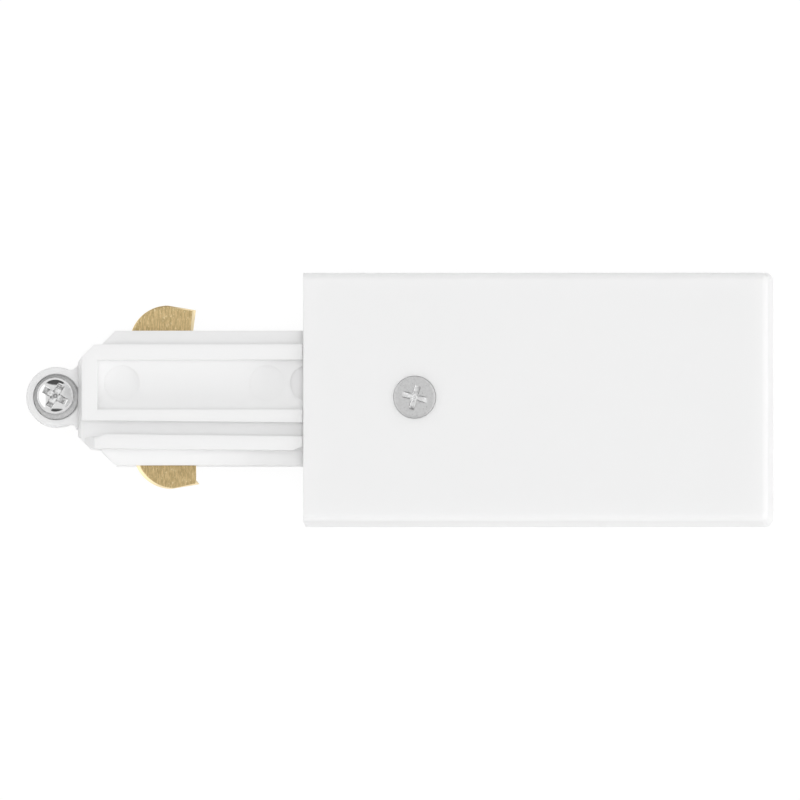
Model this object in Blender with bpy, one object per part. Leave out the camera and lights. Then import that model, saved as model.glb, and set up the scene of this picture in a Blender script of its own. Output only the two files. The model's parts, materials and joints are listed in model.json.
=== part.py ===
"""Track light power feed: the live end of a one-circuit surface track.

A white housing holds the mains terminals. A moulded plug stands out of its end and slides into the
track, where two sprung brass contacts reach out sideways to the conductors and a screw in the lug at
the tip locks and earths it.

Metres, +Z up. The origin is the middle of the back face, which lies on the ceiling. The plug points
along -X and the cover's face looks along +Z.
"""
import math

import bmesh
import bpy
from mathutils import Vector

mm = 0.001

# Clearances between pieces
GAP = 0.3 * mm            # between pieces that seat on or pass each other
SCREW_GAP = 0.2 * mm      # between a screw's head and the wall of its counterbore
PAST = 1.0 * mm           # how far a cutting shape stands past the face that it cuts
LAP = 0.5 * mm            # how far two shapes run into each other where they are one moulding
STEP = 0.1 * mm           # a small shoulder where one face of a moulding runs beside another
WELD = 0.0005 * mm        # corners closer than this are one corner

# Sides of round shapes
WIDE_ROUND = 48
ROUND = 32
SMALL_ROUND = 20

# Housing cover
HOUSING_LENGTH = 64.4 * mm
HOUSING_WIDTH = 35.0 * mm
HOUSING_HEIGHT = 18.0 * mm
WALL = 1.8 * mm
FACE_WALL = 1.8 * mm      # thickness of the face that the room sees
SIDE_DRAFT = math.radians(1.25)
END_DRAFT = math.radians(1.0)
FACE_ROUND = 1.0 * mm     # fillet between the face and three of the walls
CORNER_ROUND = 1.1 * mm   # the two upright corners at the closed end
KNOCKOUT_WIDTH = 9.0 * mm
KNOCKOUT_HEIGHT = 9.0 * mm
KNOCKOUT_FLOOR = 3.0 * mm
KNOCKOUT_SKIN = 0.7 * mm
GUIDE_RIB = 1.2 * mm      # ribs inside the long walls, which meet the base
GUIDE_RIB_INSET = 17.7 * mm
GUIDE_RIB_PAST_BLOCK = 4.25 * mm
OPEN_END_X = -HOUSING_LENGTH / 2      # the track butts against this end
INSIDE_Z = HOUSING_HEIGHT - FACE_WALL

# Cover screw
COVER_SCREW_INSET = 15.35 * mm
COVER_SCREW_X = OPEN_END_X + COVER_SCREW_INSET
COVER_SCREW_HEAD = 2.85 * mm
COVER_SCREW_HEAD_HEIGHT = 1.9 * mm
COVER_SCREW_SHANK = 1.5 * mm
COVER_SCREW_LENGTH = 5.6 * mm
COVER_SCREW_TURN = 75.0               # degrees, the way its recess points
COVER_BOSS = 4.3 * mm
COVER_BOSS_DROP = 1.9 * mm

# Housing base
BASE_THICK = 2.0 * mm
BASE_RIM_HEIGHT = 3.0 * mm
BASE_RIM = 1.2 * mm
BASE_CORNER = 1.0 * mm
BASE_TOP_Z = BASE_THICK + BASE_RIM_HEIGHT
BASE_HALF_WIDTH = HOUSING_WIDTH / 2 - WALL - GAP - BASE_TOP_Z * math.tan(SIDE_DRAFT)
BASE_END_X = HOUSING_LENGTH / 2 - WALL - GAP - BASE_TOP_Z * math.tan(END_DRAFT)
CABLE_HOLE = 5.0 * mm
CABLE_HOLE_EDGE = 0.4 * mm            # between the hole and the rim
CABLE_HOLE_X = BASE_END_X - BASE_RIM - CABLE_HOLE_EDGE - CABLE_HOLE
SLOT_HALF_LENGTH = 3.0 * mm
SLOT_RADIUS = 1.9 * mm
SLOT_SEAT = 3.6 * mm                  # room round a slot for a fixing screw's head
SLOT_INSET = 9.0 * mm

# Plug mouldings, which fit the channel of a track as wide and as high as the housing
TRACK_SIDE = 8.25 * mm                # from the track's side to its channel
PLUG_HALF_WIDTH = HOUSING_WIDTH / 2 - TRACK_SIDE
FLANGE = 1.95 * mm
BLOCK_HALF_WIDTH = PLUG_HALF_WIDTH - FLANGE
PLUG_REACH = 31.14 * mm               # from the housing to the nose
PLUG_NOSE_X = OPEN_END_X - PLUG_REACH
NOSE_LEAN = 0.67 * mm                 # how far the nose wall leans back over its height
NOSE_CHAMFER = 2.35 * mm
LOWER_NOSE_CHAMFER = 1.75 * mm
FLANGE_SETBACK = 3.3 * mm
FLANGE_NOSE_X = PLUG_NOSE_X + FLANGE_SETBACK
FLANGE_CHAMFER = 1.9 * mm
RIB_DROP = 0.6 * mm                   # from the housing's face down to the ribs
RIB_TOP_Z = HOUSING_HEIGHT - RIB_DROP
RECESS_DEPTH = 2.0 * mm
RECESS_FLOOR_Z = RIB_TOP_Z - RECESS_DEPTH
GROOVE_DEPTH = 2.2 * mm
GROOVE_FLOOR_Z = RIB_TOP_Z - GROOVE_DEPTH
FLANGE_DROP = 3.0 * mm
FLANGE_TOP_Z = RIB_TOP_Z - FLANGE_DROP
FLANGE_FALL = 0.35 * mm               # the flange tops fall outwards by this much
FRONT_DEPTH = 4.8 * mm                # thickness of the front moulding at its flanges
PARTING_Z = FLANGE_TOP_Z - FRONT_DEPTH
RIB_END_GAP = 0.26 * mm
RIB_END_X = OPEN_END_X - RIB_END_GAP
RIB_END_ROUND = 0.35 * mm
LOWER_RIB_END = (1.2 * mm, 0.6 * mm)  # the lower rib's outer corner is cut off beside the housing
UPPER_RIB = 2.11 * mm
LOWER_RIB = 1.94 * mm
GROOVE = 1.9 * mm
MIDDLE_RIB = 1.79 * mm
UPPER_RIB_FOOT_Y = BLOCK_HALF_WIDTH - UPPER_RIB
LOWER_RIB_FOOT_Y = -BLOCK_HALF_WIDTH + LOWER_RIB
MIDDLE_RIB_Y = (LOWER_RIB_FOOT_Y + GROOVE + MIDDLE_RIB, LOWER_RIB_FOOT_Y + GROOVE)
TOE = 0.32 * mm                       # the groove and the lower rib run this far inwards at the nose
RECESS_SETBACK = 2.83 * mm
RECESS_NOSE_X = PLUG_NOSE_X + RECESS_SETBACK
LEAD_START = 1.04 * mm                # the lower rib's sloping lead-in, from the nose
LEAD_LENGTH = 1.4 * mm
MOUTH_LENGTH = 3.0 * mm               # the groove is wider here, at the nose
MOUTH = 0.45 * mm
MOUTH_SLOPE = 0.65 * mm
EJECTOR_RADIUS = 2.42 * mm
EJECTOR_DEPTH = 0.4 * mm
EJECTOR_SETBACK = (6.14 * mm, 26.09 * mm, 31.74 * mm)
EJECTOR_INSET = 3.19 * mm
ROOT_STEP = 3.6 * mm                  # inside the housing the plug steps down here
ROOT_STEP_X = OPEN_END_X + ROOT_STEP
ROOT_DROP = 1.8 * mm
ROOT_TOP_Z = FLANGE_TOP_Z - ROOT_DROP
ROOT_LENGTH = 20.6 * mm
ROOT_END_X = OPEN_END_X + ROOT_LENGTH
POST_RADIUS = 3.6 * mm                # the post that takes the cover screw
CORE_WALL = 1.3 * mm                  # walls round the pockets in the back moulding's core
CORE_NOSE_WALL = 2.4 * mm
CORE_RIB = 1.2 * mm
CORE_POCKET = 12.94 * mm

# Earth strap
STRAP_THICK = 0.7 * mm
STRAP_WIDTH = 4.6 * mm
STRAP_RING = 3.3 * mm
STRAP_Z = BASE_THICK + 2 * GAP
STRAP_ROOF_Z = STRAP_Z + STRAP_THICK + GAP

# Lock screw and its washer
WASHER_RADIUS = 3.0 * mm
WASHER_THICK = 0.6 * mm
LOCK_HEAD = 2.5 * mm
LOCK_HEAD_HEIGHT = 1.7 * mm
LOCK_SHANK = 1.25 * mm
LOCK_TIP_Z = 1.0 * mm
LOCK_TURN = 60.0                      # degrees, the way its recess points

# Lug at the tip
LUG_REACH = 2.96 * mm
LUG_X = PLUG_NOSE_X - LUG_REACH
LUG_Y = 0.2 * mm
LUG_RADIUS = 4.15 * mm
LUG_NECK_HALF_WIDTH = 3.75 * mm
LUG_NECK_ROUND = 0.6 * mm
LUG_RISE = 0.8 * mm
LUG_TOP_Z = PARTING_Z + LUG_RISE
LUG_EDGE_ROUND = 0.35 * mm
SEAT_RADIUS = WASHER_RADIUS + SCREW_GAP
SEAT_DEPTH = 2.5 * mm
SEAT_Z = LUG_TOP_Z - SEAT_DEPTH

# Contacts
STRIP = 0.6 * mm                      # thickness of the contacts' brass
STRIP_INSET = 1.5 * mm
STRIP_Y = PLUG_HALF_WIDTH - STRIP_INSET
CHANNEL_FLOOR = 0.7 * mm
STRIP_LOW_Z = STRAP_ROOF_Z + CHANNEL_FLOOR + GAP
STRIP_TOP_Z = PARTING_Z - GAP
TONGUE_LOW_Z = PARTING_Z + GAP
TONGUE_TOP_Z = TONGUE_LOW_Z + STRIP
CONTACT_PRESS = 2.2 * mm              # how far a contact springs in
PRESS_SPARE = 0.55 * mm
CHANNEL_INNER_Y = STRIP_Y - STRIP - CONTACT_PRESS - PRESS_SPARE
CONTACT_ARC = 5.3 * mm                # radius of the lead-in
CONTACT_SETBACK = 12.39 * mm
CONTACT_CREST_X = PLUG_NOSE_X + CONTACT_SETBACK
CONTACT_BACK = 3.85 * mm
CONTACT_BACK_X = CONTACT_CREST_X + CONTACT_BACK
CONTACT_BACK_LEAN = 0.45 * mm
CONTACT_FALL = 0.65 * mm              # how far the edge falls from the crest to the back corner
CONTACT_EDGE = 0.12 * mm              # the punched edge is a little round on its upper side
LIVE_OUT = 3.55 * mm                  # how far each contact's crest stands out of the plug
NEUTRAL_OUT = 3.2 * mm
NEUTRAL_SHIFT = 0.5 * mm              # the neutral contact sits this much nearer the housing
NEUTRAL_HEEL = 0.55 * mm              # and its back edge leans in within this width of its corner
TAIL_STEP = 2.4 * mm
TAIL_SLOPE = 2.5 * mm
FOLD = 0.5 * mm                       # outer radius of a fold in the sheet

# Terminals
BLOCK_OFFSET = 2.2 * mm               # from the end of the plug's root to the block
BLOCK_LENGTH = 12.6 * mm
BLOCK_X = (ROOT_END_X + BLOCK_OFFSET, ROOT_END_X + BLOCK_OFFSET + BLOCK_LENGTH)
BLOCK_SIDE_ROOM = 2.3 * mm
BLOCK_HALF = HOUSING_WIDTH / 2 - WALL - BLOCK_SIDE_ROOM
BLOCK_HEADROOM = 2.8 * mm
BLOCK_TOP_Z = INSIDE_Z - BLOCK_HEADROOM
BLOCK_WALL = 1.1 * mm
BLOCK_DIVIDER = 2.1 * mm
BLOCK_FLOOR = 0.6 * mm
BLOCK_BACK = 1.0 * mm
BLOCK_ROUND = 0.4 * mm
CHAMBER = (2 * BLOCK_HALF - 2 * BLOCK_WALL - 2 * BLOCK_DIVIDER) / 3
TERMINAL_PITCH = CHAMBER + BLOCK_DIVIDER
CAGE_WIDTH = CHAMBER - 2 * GAP
CAGE_LENGTH = 5.2 * mm
CAGE_WALL = 1.0 * mm
CAGE_ROUND = 0.5 * mm
TERMINAL_X = BLOCK_X[0] + BLOCK_BACK + CAGE_LENGTH / 2
TERMINAL_SHANK = 1.3 * mm
TERMINAL_HEAD = 1.8 * mm
TERMINAL_HEAD_HEIGHT = 1.5 * mm
TERMINAL_SUNK = 0.6 * mm              # how far the heads lie below the block's top
TERMINAL_TURN = (20.0, 30.0)          # degrees: the middle recess, and the step to the next
CAGE_LOW_Z = BASE_THICK + GAP + BLOCK_FLOOR + GAP
TAIL_DROP = 0.8 * mm                  # between a tail and the top wall of its cage
GRIPPED = 1.4 * mm                    # the thinnest wire that a closed cage grips
TERMINAL_STACK = BLOCK_TOP_Z - TERMINAL_SUNK - TERMINAL_HEAD_HEIGHT - GAP - CAGE_LOW_Z
WIRE_ROOM = (TERMINAL_STACK - 2 * CAGE_WALL - TAIL_DROP - STRIP + GRIPPED) / 2
CAGE_RISE = WIRE_ROOM - GRIPPED
TAIL_Z = CAGE_LOW_Z + CAGE_WALL + WIRE_ROOM      # underside of the tails in the cages
CAGE_TOP_Z = TAIL_Z + STRIP + TAIL_DROP + CAGE_WALL
TAIL_SIDE_ROOM = 0.4 * mm
TAIL_WIDTH = CAGE_WIDTH - 2 * CAGE_WALL - 2 * TAIL_SIDE_ROOM
WIRE_WAY_SIDE = 0.2 * mm
WIRE_WAY = CAGE_WIDTH - 2 * CAGE_WALL - 2 * WIRE_WAY_SIDE
FOOT = 0.8 * mm                       # the two feet on the base that hold the block
FOOT_HALF_LENGTH = 2.0 * mm
FOOT_HEIGHT = 1.6 * mm

# Screws that hold the plug to the base
PLUG_SCREW_SHANK = 1.3 * mm
PLUG_SCREW_HEAD = 2.4 * mm
PLUG_SCREW_HEAD_HEIGHT = 1.6 * mm
PLUG_SCREW_TURN = 35.0                # degrees, from one recess to the next
EAR_INSET = 8.2 * mm
EAR_X = OPEN_END_X + EAR_INSET
EAR_OFFSET = 2.75 * mm
EAR_Y = PLUG_HALF_WIDTH + EAR_OFFSET
EAR_EDGE = 0.5 * mm
EAR_OUTER_Y = EAR_Y + PLUG_SCREW_HEAD + EAR_EDGE
EAR_HALF_LENGTH = PLUG_SCREW_HEAD + 2 * EAR_EDGE
EAR_LOW_Z = BASE_TOP_Z + GAP + STEP
EAR_THICK = 1.8 * mm
EAR_TOP_Z = PARTING_Z + EAR_THICK

# Cord clamp
CLAMP_OFFSET = 9.2 * mm               # from the terminal block to the clamp's middle
CLAMP_X = BLOCK_X[1] + CLAMP_OFFSET
CLAMP_HALF_LENGTH = 2.6 * mm
CLAMP_POST_INSET = 7.1 * mm
CLAMP_POST_Y = HOUSING_WIDTH / 2 - WALL - CLAMP_POST_INSET
CLAMP_POST_RADIUS = 2.5 * mm
CLAMP_HALF_WIDTH = CLAMP_POST_Y + CLAMP_POST_RADIUS + GAP
CLAMP_BAR = 2.4 * mm
CLAMP_LIFT = 2.5 * mm
CLAMP_HEADROOM = 1.0 * mm
CLAMP_SHANK = 1.25 * mm
CLAMP_HEAD = 2.3 * mm
CLAMP_HEAD_HEIGHT = 1.5 * mm
CLAMP_TURN = 15.0                     # degrees, from one recess to the next
CLAMP_POST_TOP_Z = INSIDE_Z - CLAMP_HEADROOM - CLAMP_LIFT - CLAMP_HEAD_HEIGHT - CLAMP_BAR - 2 * GAP
SADDLE_RISE = 1.2 * mm                # ridges under the cable
SADDLE_TOP_Z = BASE_THICK + SADDLE_RISE
SADDLE_PITCH = 3.2 * mm
RIDGE_PITCH = 2.4 * mm                # ridges over the cable
RIDGE_DROP = 0.8 * mm
RIDGE_FOOT = 0.7 * mm
RIDGE_TIP = 0.2 * mm


def material(name, colour, roughness, metallic=0.0):
    """A plain Principled material for one sub-part."""
    finish = bpy.data.materials.new(name)
    finish.use_nodes = True
    shader = finish.node_tree.nodes["Principled BSDF"]
    shader.inputs["Base Color"].default_value = (*colour, 1.0)
    shader.inputs["Roughness"].default_value = roughness
    shader.inputs["Metallic"].default_value = metallic
    return finish


def to_object(name, shape):
    """Turn a bmesh into an object in the scene."""
    bmesh.ops.recalc_face_normals(shape, faces=shape.faces[:])
    mesh = bpy.data.meshes.new(name)
    shape.to_mesh(mesh)
    shape.free()
    solid = bpy.data.objects.new(name, mesh)
    bpy.context.scene.collection.objects.link(solid)
    return solid


def along(axis, a, b, c):
    """A point whose outline lies at (a, b) and whose depth is c along the axis."""
    return Vector({"X": (c, a, b), "Y": (a, c, b), "Z": (a, b, c)}[axis])


def loft(name, lower, upper, low, high):
    """A solid between two outlines with as many corners, at two heights."""
    shape = bmesh.new()
    rings = [[shape.verts.new((a, b, height)) for a, b in outline]
             for outline, height in ((lower, low), (upper, high))]
    shape.faces.new(rings[0])
    shape.faces.new(rings[1])
    count = len(rings[0])
    for here in range(count):
        there = (here + 1) % count
        shape.faces.new((rings[0][here], rings[0][there], rings[1][there], rings[1][here]))
    return to_object(name, shape)


def prism(name, outline, low, high, axis="Z"):
    """A closed outline pulled straight from low to high."""
    shape = bmesh.new()
    face = shape.faces.new([shape.verts.new(along(axis, a, b, low)) for a, b in outline])
    pulled = bmesh.ops.extrude_face_region(shape, geom=[face])
    moved = [part for part in pulled["geom"] if isinstance(part, bmesh.types.BMVert)]
    bmesh.ops.translate(shape, verts=moved, vec=along(axis, 0, 0, high - low))
    return to_object(name, shape)


def box(name, x, y, z):
    """A block between two values on each axis."""
    return prism(name, [(x[0], y[0]), (x[1], y[0]), (x[1], y[1]), (x[0], y[1])], z[0], z[1])


def turned(name, x, y, profile, segments=ROUND):
    """A profile of (radius, height) steps turned about an upright axis."""
    shape = bmesh.new()
    points = [shape.verts.new((radius, 0, height)) for radius, height in profile]
    edges = [shape.edges.new(pair) for pair in zip(points, points[1:])]
    bmesh.ops.spin(shape, geom=points + edges, cent=(0, 0, 0), axis=(0, 0, 1), angle=math.tau,
                   steps=int(segments), use_merge=True)
    bmesh.ops.remove_doubles(shape, verts=shape.verts[:], dist=WELD)
    bmesh.ops.translate(shape, verts=shape.verts[:], vec=(x, y, 0))
    return to_object(name, shape)


def rod(name, x, y, low, high, radius, segments=ROUND):
    """A plain upright cylinder."""
    return turned(name, x, y, [(0, low), (radius, low), (radius, high), (0, high)], segments)


def combine(solid, tool, operation):
    """Apply one Boolean and remove the tool."""
    step = solid.modifiers.new(operation.lower(), "BOOLEAN")
    step.operation = operation
    step.solver = "EXACT"
    step.object = tool
    with bpy.context.temp_override(object=solid, active_object=solid):
        bpy.ops.object.modifier_apply(modifier=step.name)
    bpy.data.objects.remove(tool, do_unlink=True)
    shape = bmesh.new()
    shape.from_mesh(solid.data)
    bmesh.ops.remove_doubles(shape, verts=shape.verts[:], dist=WELD)
    bmesh.ops.dissolve_degenerate(shape, edges=shape.edges[:], dist=WELD)
    shape.to_mesh(solid.data)
    shape.free()


def cut(solid, *tools):
    for tool in tools:
        combine(solid, tool, "DIFFERENCE")


def join(solid, *tools):
    for tool in tools:
        combine(solid, tool, "UNION")


def round_edges(solid, width, segments, chosen):
    """Round the edges that the test picks by their two end points."""
    shape = bmesh.new()
    shape.from_mesh(solid.data)
    edges = [edge for edge in shape.edges if chosen(edge.verts[0].co, edge.verts[1].co)]
    bmesh.ops.bevel(shape, geom=edges, offset=width, segments=segments, profile=0.5,
                    affect="EDGES", clamp_overlap=True)
    shape.to_mesh(solid.data)
    shape.free()


def arc(x, y, radius, start, end, steps):
    """Points on an arc, with its angles in degrees."""
    turns = [math.radians(start + (end - start) * step / steps) for step in range(steps + 1)]
    return [(x + radius * math.cos(turn), y + radius * math.sin(turn)) for turn in turns]


def capsule(x, y, half_length, radius, steps=8):
    """A slot's outline: two half rounds joined by straight sides, along X."""
    return (arc(x + half_length - radius, y, radius, -90, 90, steps)
            + arc(x - half_length + radius, y, radius, 90, 270, steps))


def between(side, near, far):
    """The span from near to far on one side of the middle, in rising order."""
    return sorted((side * near, side * far))


def shade(solid, finish, origin=None):
    """Give the sub-part its material, smooth rounds and, if it moves, an origin on its axis."""
    solid.data.materials.clear()
    solid.data.materials.append(finish)
    solid.data.shade_smooth()
    solid.data.set_sharp_from_angle(angle=math.radians(32))
    if origin is not None:
        place = Vector(origin)
        for vertex in solid.data.vertices:
            vertex.co -= place
        solid.location = place
    return solid


def cross_recess(x, y, top, reach, width, depth, turn):
    """The tapered cross that a screwdriver fits."""
    arms = []
    for quarter in (0, 90):
        angle = math.radians(turn + quarter)
        side = Vector((-math.sin(angle), math.cos(angle), 0))
        ahead = Vector((math.cos(angle), math.sin(angle), 0))
        shape = bmesh.new()
        rings = []
        for height, length, half in ((top + PAST, reach, width / 2), (top - depth * 0.4, reach, width / 2),
                                     (top - depth, reach * 0.35, width * 0.35)):
            corners = [(-length, -half), (length, -half), (length, half), (-length, half)]
            rings.append([shape.verts.new(Vector((x, y, height)) + ahead * a + side * b)
                          for a, b in corners])
        shape.faces.new(rings[0])
        shape.faces.new(rings[-1])
        for upper, lower in zip(rings, rings[1:]):
            for here in range(4):
                there = (here + 1) % 4
                shape.faces.new((upper[here], upper[there], lower[there], lower[here]))
        arms.append(to_object("recess arm", shape))
    return arms


def screw(name, x, y, seat, tip, head, head_height, shank, finish, turn, dome=0.25, segments=SMALL_ROUND):
    """A pan-head screw standing on its seat, with a cross recess. The thread is left plain."""
    edge = head_height * dome
    top = seat + head_height
    rim = [(head - edge + edge * math.cos(a), top - edge + edge * math.sin(a))
           for a in (0, math.pi / 4, math.pi / 2)]
    profile = [(0, tip), (shank * 0.7, tip), (shank, tip + shank * 0.5), (shank, seat), (head, seat)]
    solid = turned(name, x, y, profile + rim + [(0, top)], segments)
    cut(solid, *cross_recess(x, y, top, head * 0.72, head * 0.34, head_height * 0.75, turn))
    return shade(solid, finish, (x, y, seat))


def cover_shell(name, inset, low, high):
    """A drafted block, its upright corners rounded at the closed end."""
    outlines = []
    corner = CORNER_ROUND - inset if inset < CORNER_ROUND else LAP
    for height in (low, high):
        side = HOUSING_WIDTH / 2 - inset - height * math.tan(SIDE_DRAFT)
        end = HOUSING_LENGTH / 2 - inset - height * math.tan(END_DRAFT)
        outlines.append([(OPEN_END_X + inset, side), (OPEN_END_X + inset, -side)]
                        + arc(end - corner, -side + corner, corner, -90, 0, 5)
                        + arc(end - corner, side - corner, corner, 0, 90, 5))
    return loft(name, outlines[0], outlines[1], low, high)


def make_housing_cover(finish):
    """The shell that the room sees: a face with four walls, open at the back."""
    cover = cover_shell("housing_cover", 0, GAP, HOUSING_HEIGHT)
    round_edges(cover, FACE_ROUND, 5,
                lambda a, b: min(a.z, b.z) > HOUSING_HEIGHT - LAP and max(a.x, b.x) > OPEN_END_X + LAP)
    cut(cover, cover_shell("hollow", WALL, -PAST, INSIDE_Z))

    boss_low = INSIDE_Z - COVER_BOSS_DROP
    join(cover, rod("boss", COVER_SCREW_X, 0, boss_low, INSIDE_Z + LAP, COVER_BOSS))
    inner_side = HOUSING_WIDTH / 2 - WALL
    root = LAP / 2
    for rib_x in (OPEN_END_X + GUIDE_RIB_INSET, BLOCK_X[1] + GUIDE_RIB_PAST_BLOCK + GUIDE_RIB / 2):
        for side in (-1, 1):
            join(cover, box("guide rib", (rib_x - GUIDE_RIB / 2, rib_x + GUIDE_RIB / 2),
                            between(side, inner_side - GUIDE_RIB, inner_side + root),
                            (BASE_TOP_Z + GAP, INSIDE_Z + root)))

    # The way out for the plug follows its two flanges and its block
    plug_way = PLUG_HALF_WIDTH + GAP
    cut(cover, box("plug way", (OPEN_END_X - PAST, OPEN_END_X + WALL + PAST),
                   (-plug_way, plug_way), (-PAST, RECESS_FLOOR_Z + GAP)))

    # The head of the cover screw lies flush in a counterbore
    floor = HOUSING_HEIGHT - COVER_SCREW_HEAD_HEIGHT - GAP
    cut(cover,
        rod("head seat", COVER_SCREW_X, 0, floor, HOUSING_HEIGHT + PAST,
            COVER_SCREW_HEAD + SCREW_GAP, WIDE_ROUND),
        rod("shank way", COVER_SCREW_X, 0, boss_low - PAST, floor + LAP, COVER_SCREW_SHANK + GAP))

    # A thin panel in the closed end is knocked out for a cable that comes from the side
    knockout_top = KNOCKOUT_FLOOR + KNOCKOUT_HEIGHT
    skin_x = HOUSING_LENGTH / 2 - knockout_top * math.tan(END_DRAFT) - KNOCKOUT_SKIN
    cut(cover, box("knock-out", (HOUSING_LENGTH / 2 - WALL - 2 * PAST, skin_x),
                   (-KNOCKOUT_WIDTH / 2, KNOCKOUT_WIDTH / 2), (KNOCKOUT_FLOOR, knockout_top)))
    return shade(cover, finish, (0, 0, GAP))


def base_plate(name, inset, low, high):
    """The base's outline, moved in by the inset, pulled up from low to high."""
    corner = BASE_CORNER
    x_low, x_high, side = OPEN_END_X + WALL + GAP + inset, BASE_END_X - inset, BASE_HALF_WIDTH - inset
    outline = (arc(x_low + corner, -side + corner, corner, 180, 270, 4)
               + arc(x_high - corner, -side + corner, corner, 270, 360, 4)
               + arc(x_high - corner, side - corner, corner, 0, 90, 4)
               + arc(x_low + corner, side - corner, corner, 90, 180, 4))
    return prism(name, outline, low, high)


def make_housing_base(finish):
    """The plate that is screwed to the ceiling, with the bosses that carry everything else."""
    base = base_plate("housing_base", 0, 0, BASE_TOP_Z)
    cut(base, base_plate("tray", BASE_RIM, BASE_THICK, BASE_TOP_Z + PAST))

    # The rim stops where the plug comes in
    plug_way = PLUG_HALF_WIDTH + GAP
    cut(base, box("plug notch", (OPEN_END_X, OPEN_END_X + WALL + GAP + BASE_RIM + PAST),
                  (-plug_way, plug_way), (BASE_THICK, BASE_TOP_Z + PAST)))

    # Bosses under the plug's ears
    for side in (-1, 1):
        join(base, rod("ear boss", EAR_X, side * EAR_Y, BASE_THICK - LAP, EAR_LOW_Z - GAP,
                       PLUG_SCREW_HEAD))
        cut(base, rod("pilot", EAR_X, side * EAR_Y, BASE_THICK - LAP, EAR_LOW_Z + PAST,
                      PLUG_SCREW_SHANK + GAP, SMALL_ROUND))

    # Two feet locate the terminal block
    middle = (BLOCK_X[0] + BLOCK_X[1]) / 2
    for side in (-1, 1):
        join(base, box("block foot", (middle - FOOT_HALF_LENGTH, middle + FOOT_HALF_LENGTH),
                       between(side, BLOCK_HALF + GAP, BLOCK_HALF + GAP + FOOT),
                       (BASE_THICK - LAP, BASE_THICK + FOOT_HEIGHT)))

    # Posts and a ridged saddle for the cord clamp
    for side in (-1, 1):
        join(base, rod("clamp post", CLAMP_X, side * CLAMP_POST_Y, BASE_THICK - LAP, CLAMP_POST_TOP_Z,
                       CLAMP_POST_RADIUS))
        cut(base, rod("pilot", CLAMP_X, side * CLAMP_POST_Y, BASE_THICK, CLAMP_POST_TOP_Z + PAST,
                      CLAMP_SHANK + GAP, SMALL_ROUND))
    saddle_half = CLAMP_POST_Y - CLAMP_POST_RADIUS + LAP
    foot = SADDLE_RISE / 2
    for ridge_x in (CLAMP_X - SADDLE_PITCH / 2, CLAMP_X + SADDLE_PITCH / 2):
        tooth = [(ridge_x - foot, BASE_THICK - LAP), (ridge_x + foot, BASE_THICK - LAP),
                 (ridge_x + RIDGE_TIP, SADDLE_TOP_Z), (ridge_x - RIDGE_TIP, SADDLE_TOP_Z)]
        join(base, prism("saddle ridge", tooth, -saddle_half, saddle_half, "Y"))

    # A round hole for a cable that comes out of the ceiling, and two slots for the fixing screws
    cut(base, rod("cable hole", CABLE_HOLE_X, 0, -PAST, BASE_THICK + PAST, CABLE_HOLE, WIDE_ROUND))
    slot_y = BASE_HALF_WIDTH - BASE_RIM - SLOT_SEAT
    for side in (-1, 1):
        cut(base, prism("fixing slot",
                        capsule(BASE_END_X - SLOT_INSET, side * slot_y, SLOT_HALF_LENGTH, SLOT_RADIUS),
                        -PAST, BASE_THICK + PAST))
    return shade(base, finish)


def plug_outline(half_width, nose_x, chamfer, root_x, lower_chamfer=None, toe=0.0, lean=0.0):
    """The plan of one layer of the plug, with its nose cut at 45 degrees.

    The lower side may run inwards by the toe, and the nose may stand back by the lean while the two
    cut corners stay on their lines.
    """
    lower = chamfer if lower_chamfer is None else lower_chamfer
    front = nose_x + lean
    return [(root_x, -half_width), (nose_x + lower, -half_width + toe),
            (front, -half_width + toe + lower - lean), (front, half_width - chamfer + lean),
            (nose_x + chamfer, half_width), (root_x, half_width)]


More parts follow.
